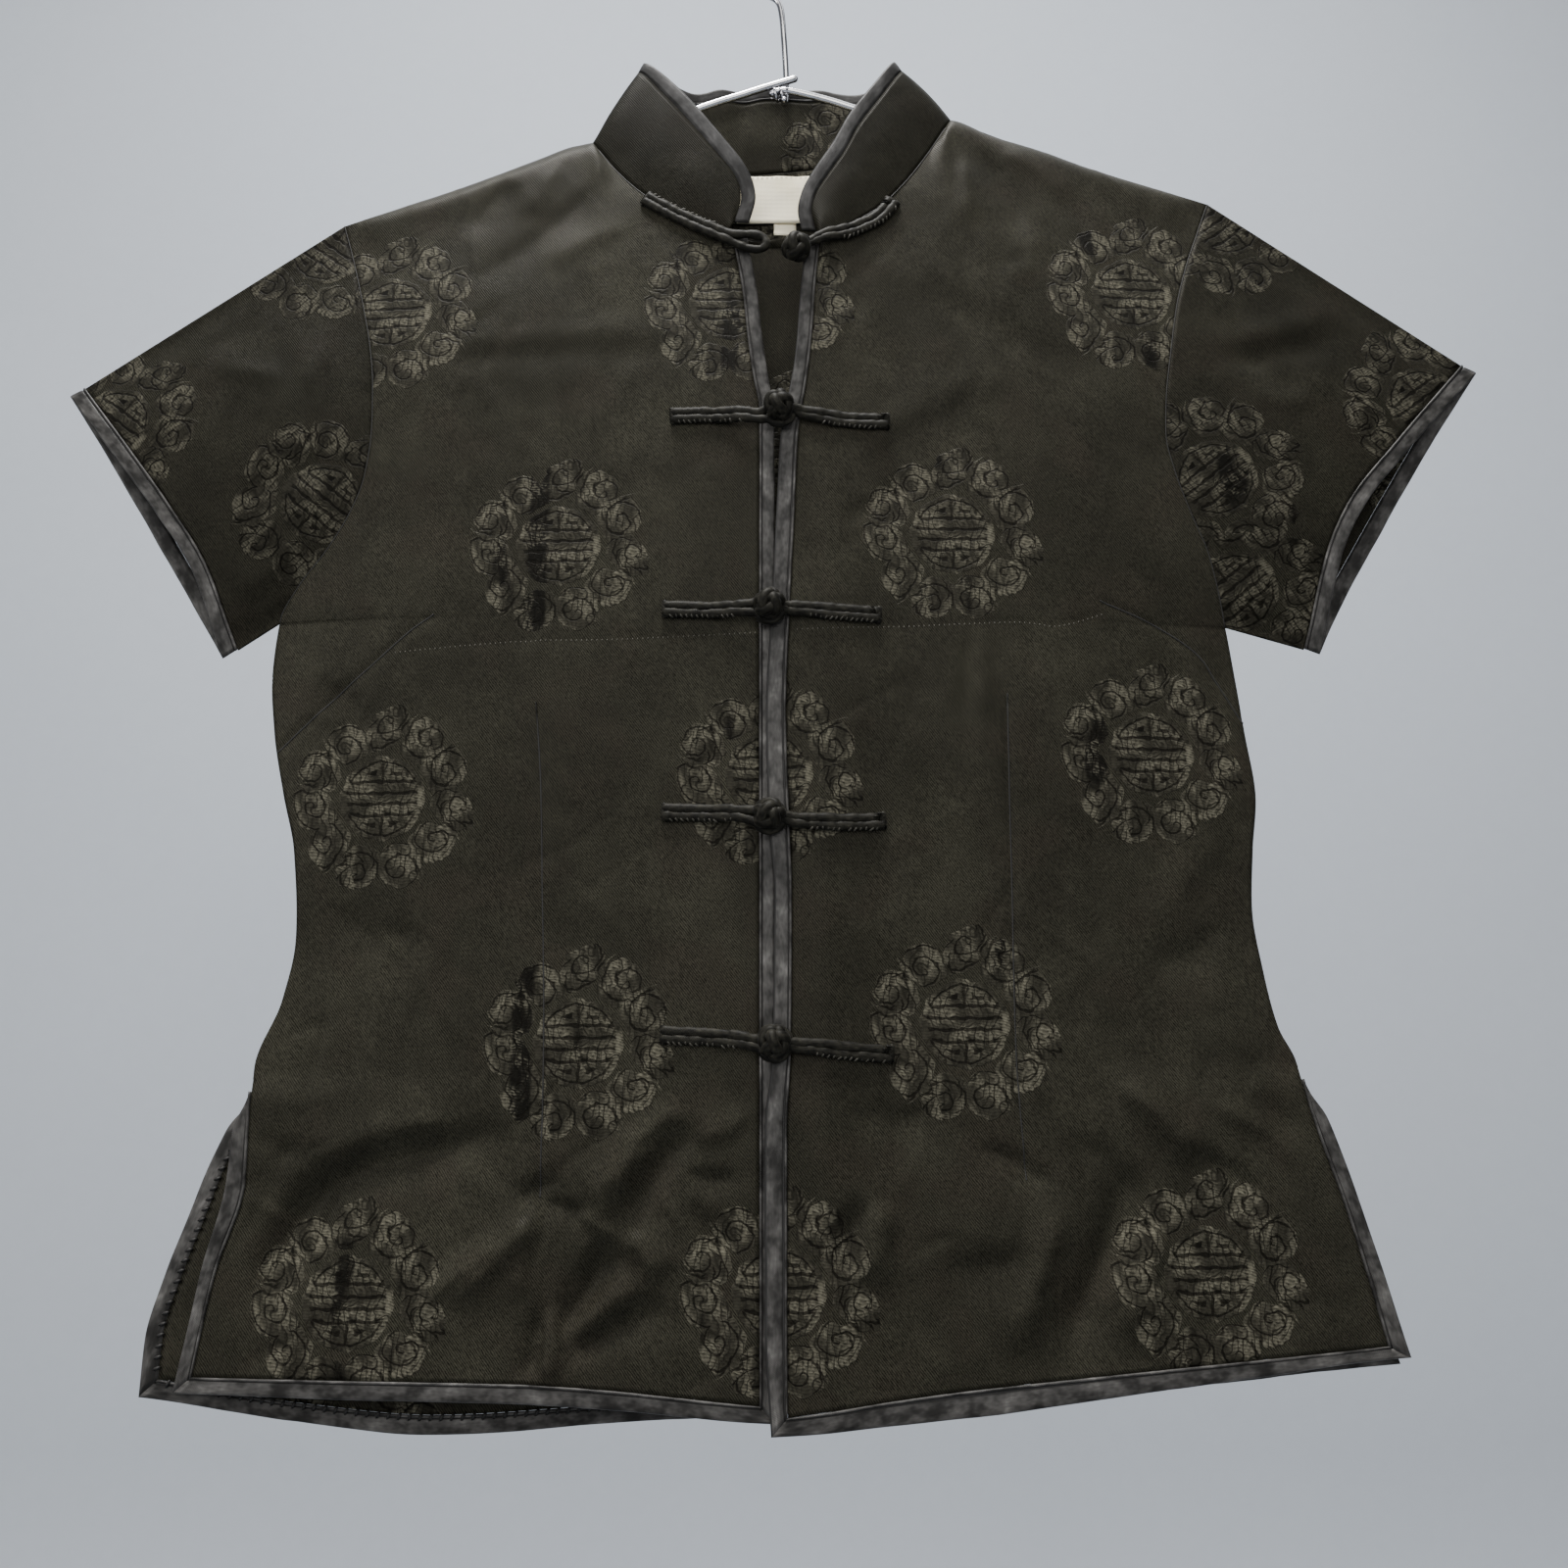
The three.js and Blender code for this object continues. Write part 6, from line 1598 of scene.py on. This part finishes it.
knotTurns = [(28, 12, 20), (52, 30, -12), (35, 4, 38), (48, 22, 60), (38, 40, 8)]
for frog, knotTurn in zip(frogs, knotTurns):
    name = frog["name"]
    knotX, knotZ = frog["knot"]
    if frog.get("open"):
        knotZ -= frogLook["openDrop"]
    lift = frogLook["overBinding"]
    if frog.get("open"):
        # the loop lies shut, its eye drawn to a leaf
        strap = strapLine("right", frog["loop"], lift)
        tip = frontPoint("right", frog["eyeEnd"][0], frog["eyeEnd"][1], lift + 0.4, creases=False)
        turnAt = strap[-1]
        reach = tip - turnAt
        across = unit(np.array([[-reach[2], 0, reach[0]]]))[0]
        eye = [turnAt + reach * a + across * b for a, b in frogLook["openEye"]]
        legs = [aside(strap, hand * frogLook["pitch"] / 2)[::6] for hand in (1, -1)]
        cord = rounded(np.concatenate([legs[0], eye, legs[1][::-1]]), frogLook["step"])
        knotY = frontPoint("left", knotX, knotZ, lift + 1.2, creases=False)[1]
        stitchHand = {"loop": 1, "stem": -1}
    else:
        strap = strapLine("right", frog["loop"], cloth["overlapLift"] + lift)
        centre = np.array([knotX, strap[-1, 1] - 0.3, knotZ - frog.get("eyeLow", 0.2)])
        start = math.atan2(strap[-1, 2] - centre[2], strap[-1, 0] - centre[0])
        opening = math.radians(frogLook["eyeOpening"])
        angles = np.linspace(start - opening, start - 2 * math.pi + opening, 15)
        ring = centre + frogLook["eye"] * np.stack([np.cos(angles), np.zeros(15), np.sin(angles)], axis=1)
        legs = [aside(strap, hand * frogLook["pitch"] / 2)[::6] for hand in (1, -1)]
        if np.linalg.norm(legs[0][-1] - ring[0]) > np.linalg.norm(legs[1][-1] - ring[0]):
            legs = legs[::-1]
        cord = rounded(np.concatenate([legs[0], ring, legs[1][::-1]]), frogLook["step"])
        knotY = frontPoint("right", knotX, knotZ, cloth["overlapLift"] + lift + 4.3, creases=False)[1]
        stitchHand = {"loop": -1, "stem": -1}
    bm = bmesh.new()
    addTube(bm, cord, unevenRadius(cord, frogLook["tube"]), frogLook["facets"], flat=frogLook["flat"])
    strapEnd(bm, strap)
    finished(f"{name}_loop_cord", bm, [cordSatin], [f"{name}_loop"], closed=True)
    whipStitches(f"{name}_loop_stitches", strap, frogLook["loopSewn"], stitchHand["loop"])
    # stem half: two cords run from the sewn end into the foot of the knot
    stem = strapLine("left", frog["stem"], lift)
    foot = np.array([knotX + 2.4, knotY + 1.0, knotZ])
    narrow = np.linspace(0, 1, len(stem))
    bm = bmesh.new()
    for hand in (1, -1):
        width = frogLook["pitch"] / 2 * mix(1, 0.72, smoothStep(0.6, 1, narrow))
        leg = aside(stem, (hand * width)[:, None])
        leg = rounded(np.concatenate([leg[::6], [mix(leg[-1], foot, 0.55), foot]]), frogLook["step"])
        legRadius = unevenRadius(leg, frogLook["tube"] * 0.97)
        addTube(bm, leg, legRadius, frogLook["facets"], flat=frogLook["flat"])
    strapEnd(bm, stem)
    finished(f"{name}_stem_cord", bm, [cordSatin], [f"{name}_stem"], closed=True)
    whipStitches(f"{name}_stem_stitches", stem, frogLook["stemSewn"], stitchHand["stem"])
    bm = bmesh.new()
    buttonKnot(bm, np.array([knotX, knotY, knotZ]), knotTurn)
    finished(f"{name}_button_knot", bm, [cordSatin], [f"{name}_knot"], closed=True)


print("hanger")

hanger = {"arm": 1.8, "stem": 1.5, "hook": 20, "hookFrom": -0.15, "hookTo": 1.16, "wrap": 0.75,
          "wrapTurns": 2.4}
armRight = [(-192, 0, -165.6), (-145, 0, -148), (-94.7, 0, -126.4), (-47.3, 0, -103), (-19.6, 0, -92.4),
            (5.5, 0, -83.6)]
armLeft = [(-6, 0, -92.4), (1, 0, -90.4), (20, 0, -95.4), (37.6, 0, -101.6), (82.8, 0, -117.4),
           (130, 0, -134.5), (187, 0, -156)]
hookZ = -hanger["hook"] + hanger["stem"]
hookLine = []
for i in range(25):
    angle = mix(hanger["hookFrom"] * math.pi, hanger["hookTo"] * math.pi, i / 24)
    hookLine.append((hanger["hook"] * math.cos(angle), 0, hookZ + hanger["hook"] * math.sin(angle)))
stemY = hanger["arm"] + hanger["stem"] + 0.35
hookLine += [(-9.5, 0, -34.5), (-3.4, 0, -38.6), (-1.2, 0.1, -46), (0, 0.8, -61), (1, stemY, -78),
             (1, stemY, -92), (0, 1.6, -96.9), (0, -1.8, -96.6)]
for name, line, radius, nodes in (("arm_right", armRight, hanger["arm"], ["hanger_arm_right"]),
                                  ("arm_left", armLeft, hanger["arm"], ["hanger_arm_left"]),
                                  ("hook", hookLine, hanger["stem"], ["hanger_hook"])):
    bm = bmesh.new()
    addTube(bm, rounded(line, 2.0), radius, 16)
    finished(f"wire_{name}", bm, [chromeWire], nodes, closed=True)
bm = bmesh.new()
turns = np.linspace(0, hanger["wrapTurns"] * 2 * math.pi, 60)
wrap = np.stack([-6 + turns * 0.5, 2.9 * np.cos(turns) + 0.4, -92.6 + 3.1 * np.sin(turns)], axis=1)
addTube(bm, wrap, hanger["wrap"], 10)
finished("wire_wrap", bm, [chromeWire], closed=True)


for side in sides:
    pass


print("stage")

stage = {"floorZ": -1.7, "wallY": 1.9, "bend": 0.7, "wide": 7.0, "high": 3.2, "near": -3.0}


def makeBackdrop():
    graph = Graph("backdrop paper")
    where = graph.object()
    grain = graph.noise(where, 55, 3.0, 0.6)
    broad = graph.noise(where, 1.6, 2.0)
    tone = graph.blend(broad, (0.285, 0.306, 0.338, 1), (0.308, 0.330, 0.364, 1))
    shade = graph.timesPlus(grain, 0.06, 0.97)
    graph.paint(tone, shade)
    graph.gloss(rough=0.95, level=0.1)
    bm = bmesh.new()
    strip = bm.verts.new((-stage["wide"], stage["near"], stage["floorZ"]))
    run = [strip, bm.verts.new((-stage["wide"], stage["wallY"] - stage["bend"], stage["floorZ"]))]
    bm.edges.new(run)
    made = bmesh.ops.spin(bm, geom=[run[1]], axis=(1, 0, 0), angle=math.pi / 2, steps=16,
                          cent=(0, stage["wallY"] - stage["bend"], stage["floorZ"] + stage["bend"]),
                          use_duplicate=False)
    last = [item for item in made["geom_last"] if isinstance(item, bmesh.types.BMVert)]
    up = bmesh.ops.extrude_vert_indiv(bm, verts=last)
    bmesh.ops.translate(bm, vec=(0, 0, stage["high"]), verts=up["verts"])
    wide = bmesh.ops.extrude_edge_only(bm, edges=bm.edges[:])
    moved = [item for item in wide["geom"] if isinstance(item, bmesh.types.BMVert)]
    bmesh.ops.translate(bm, vec=(2 * stage["wide"], 0, 0), verts=moved)
    bmesh.ops.recalc_face_normals(bm, faces=bm.faces)
    mesh = bpy.data.meshes.new("backdrop")
    bm.to_mesh(mesh)
    bm.free()
    mesh.materials.append(graph.material)
    mesh.shade_smooth()
    backdrop = bpy.data.objects.new("backdrop", mesh)
    bpy.context.scene.collection.objects.link(backdrop)


makeBackdrop()

lamps = {
    "top": {"at": (-0.3, -0.68, 2.5), "to": (0, 0, -0.45), "size": 0.8,
            "power": 245, "tint": (1.0, 0.985, 0.96)},
    "front": {"at": (0, -2.7, 0.5), "to": (0, 0, -0.4), "size": 2.4,
              "power": 74, "tint": (1.0, 0.985, 0.95)},
    "right": {"at": (2.0, -1.6, -0.3), "to": (0, 0, -0.4), "size": 1.0,
              "power": 9, "tint": (1.0, 0.99, 0.97)},
    "left": {"at": (-2.1, -1.5, 0.0), "to": (0, 0, -0.4), "size": 1.0,
             "power": 34, "tint": (1.0, 0.99, 0.97)},
    "wall": {"at": (0, 0.5, 1.4), "to": (0, 1.9, -0.6), "size": 2.2, "power": 36, "tint": (0.96, 0.98, 1.0)},
}
sky = {"colour": (0.80, 0.84, 0.90, 1), "strength": 0.28}
for name, lamp in lamps.items():
    light = bpy.data.lights.new(name, "AREA")
    light.shape = "SQUARE"
    light.size = lamp["size"]
    light.energy = lamp["power"]
    light.color = lamp["tint"]
    holder = bpy.data.objects.new(name, light)
    bpy.context.scene.collection.objects.link(holder)
    holder.location = lamp["at"]
    holder.rotation_euler = (Vector(lamp["to"]) - Vector(lamp["at"])).to_track_quat("-Z", "Y").to_euler()

world = bpy.data.worlds.new("studio")
world.use_nodes = True
world.node_tree.nodes["Background"].inputs["Color"].default_value = sky["colour"]
world.node_tree.nodes["Background"].inputs["Strength"].default_value = sky["strength"]
bpy.context.scene.world = world

view = {"at": (0, -0.7267, -0.6244), "tilt": 13.71, "lens": 38.25}
camera = bpy.data.cameras.new("camera")
camera.sensor_width = 36
camera.lens = view["lens"]
camera.clip_start = 0.02
cameraHolder = bpy.data.objects.new("camera", camera)
bpy.context.scene.collection.objects.link(cameraHolder)
cameraHolder.location = view["at"]
cameraHolder.rotation_euler = (math.radians(90 + view["tilt"]), 0, 0)
bpy.context.scene.camera = cameraHolder

print("finish")
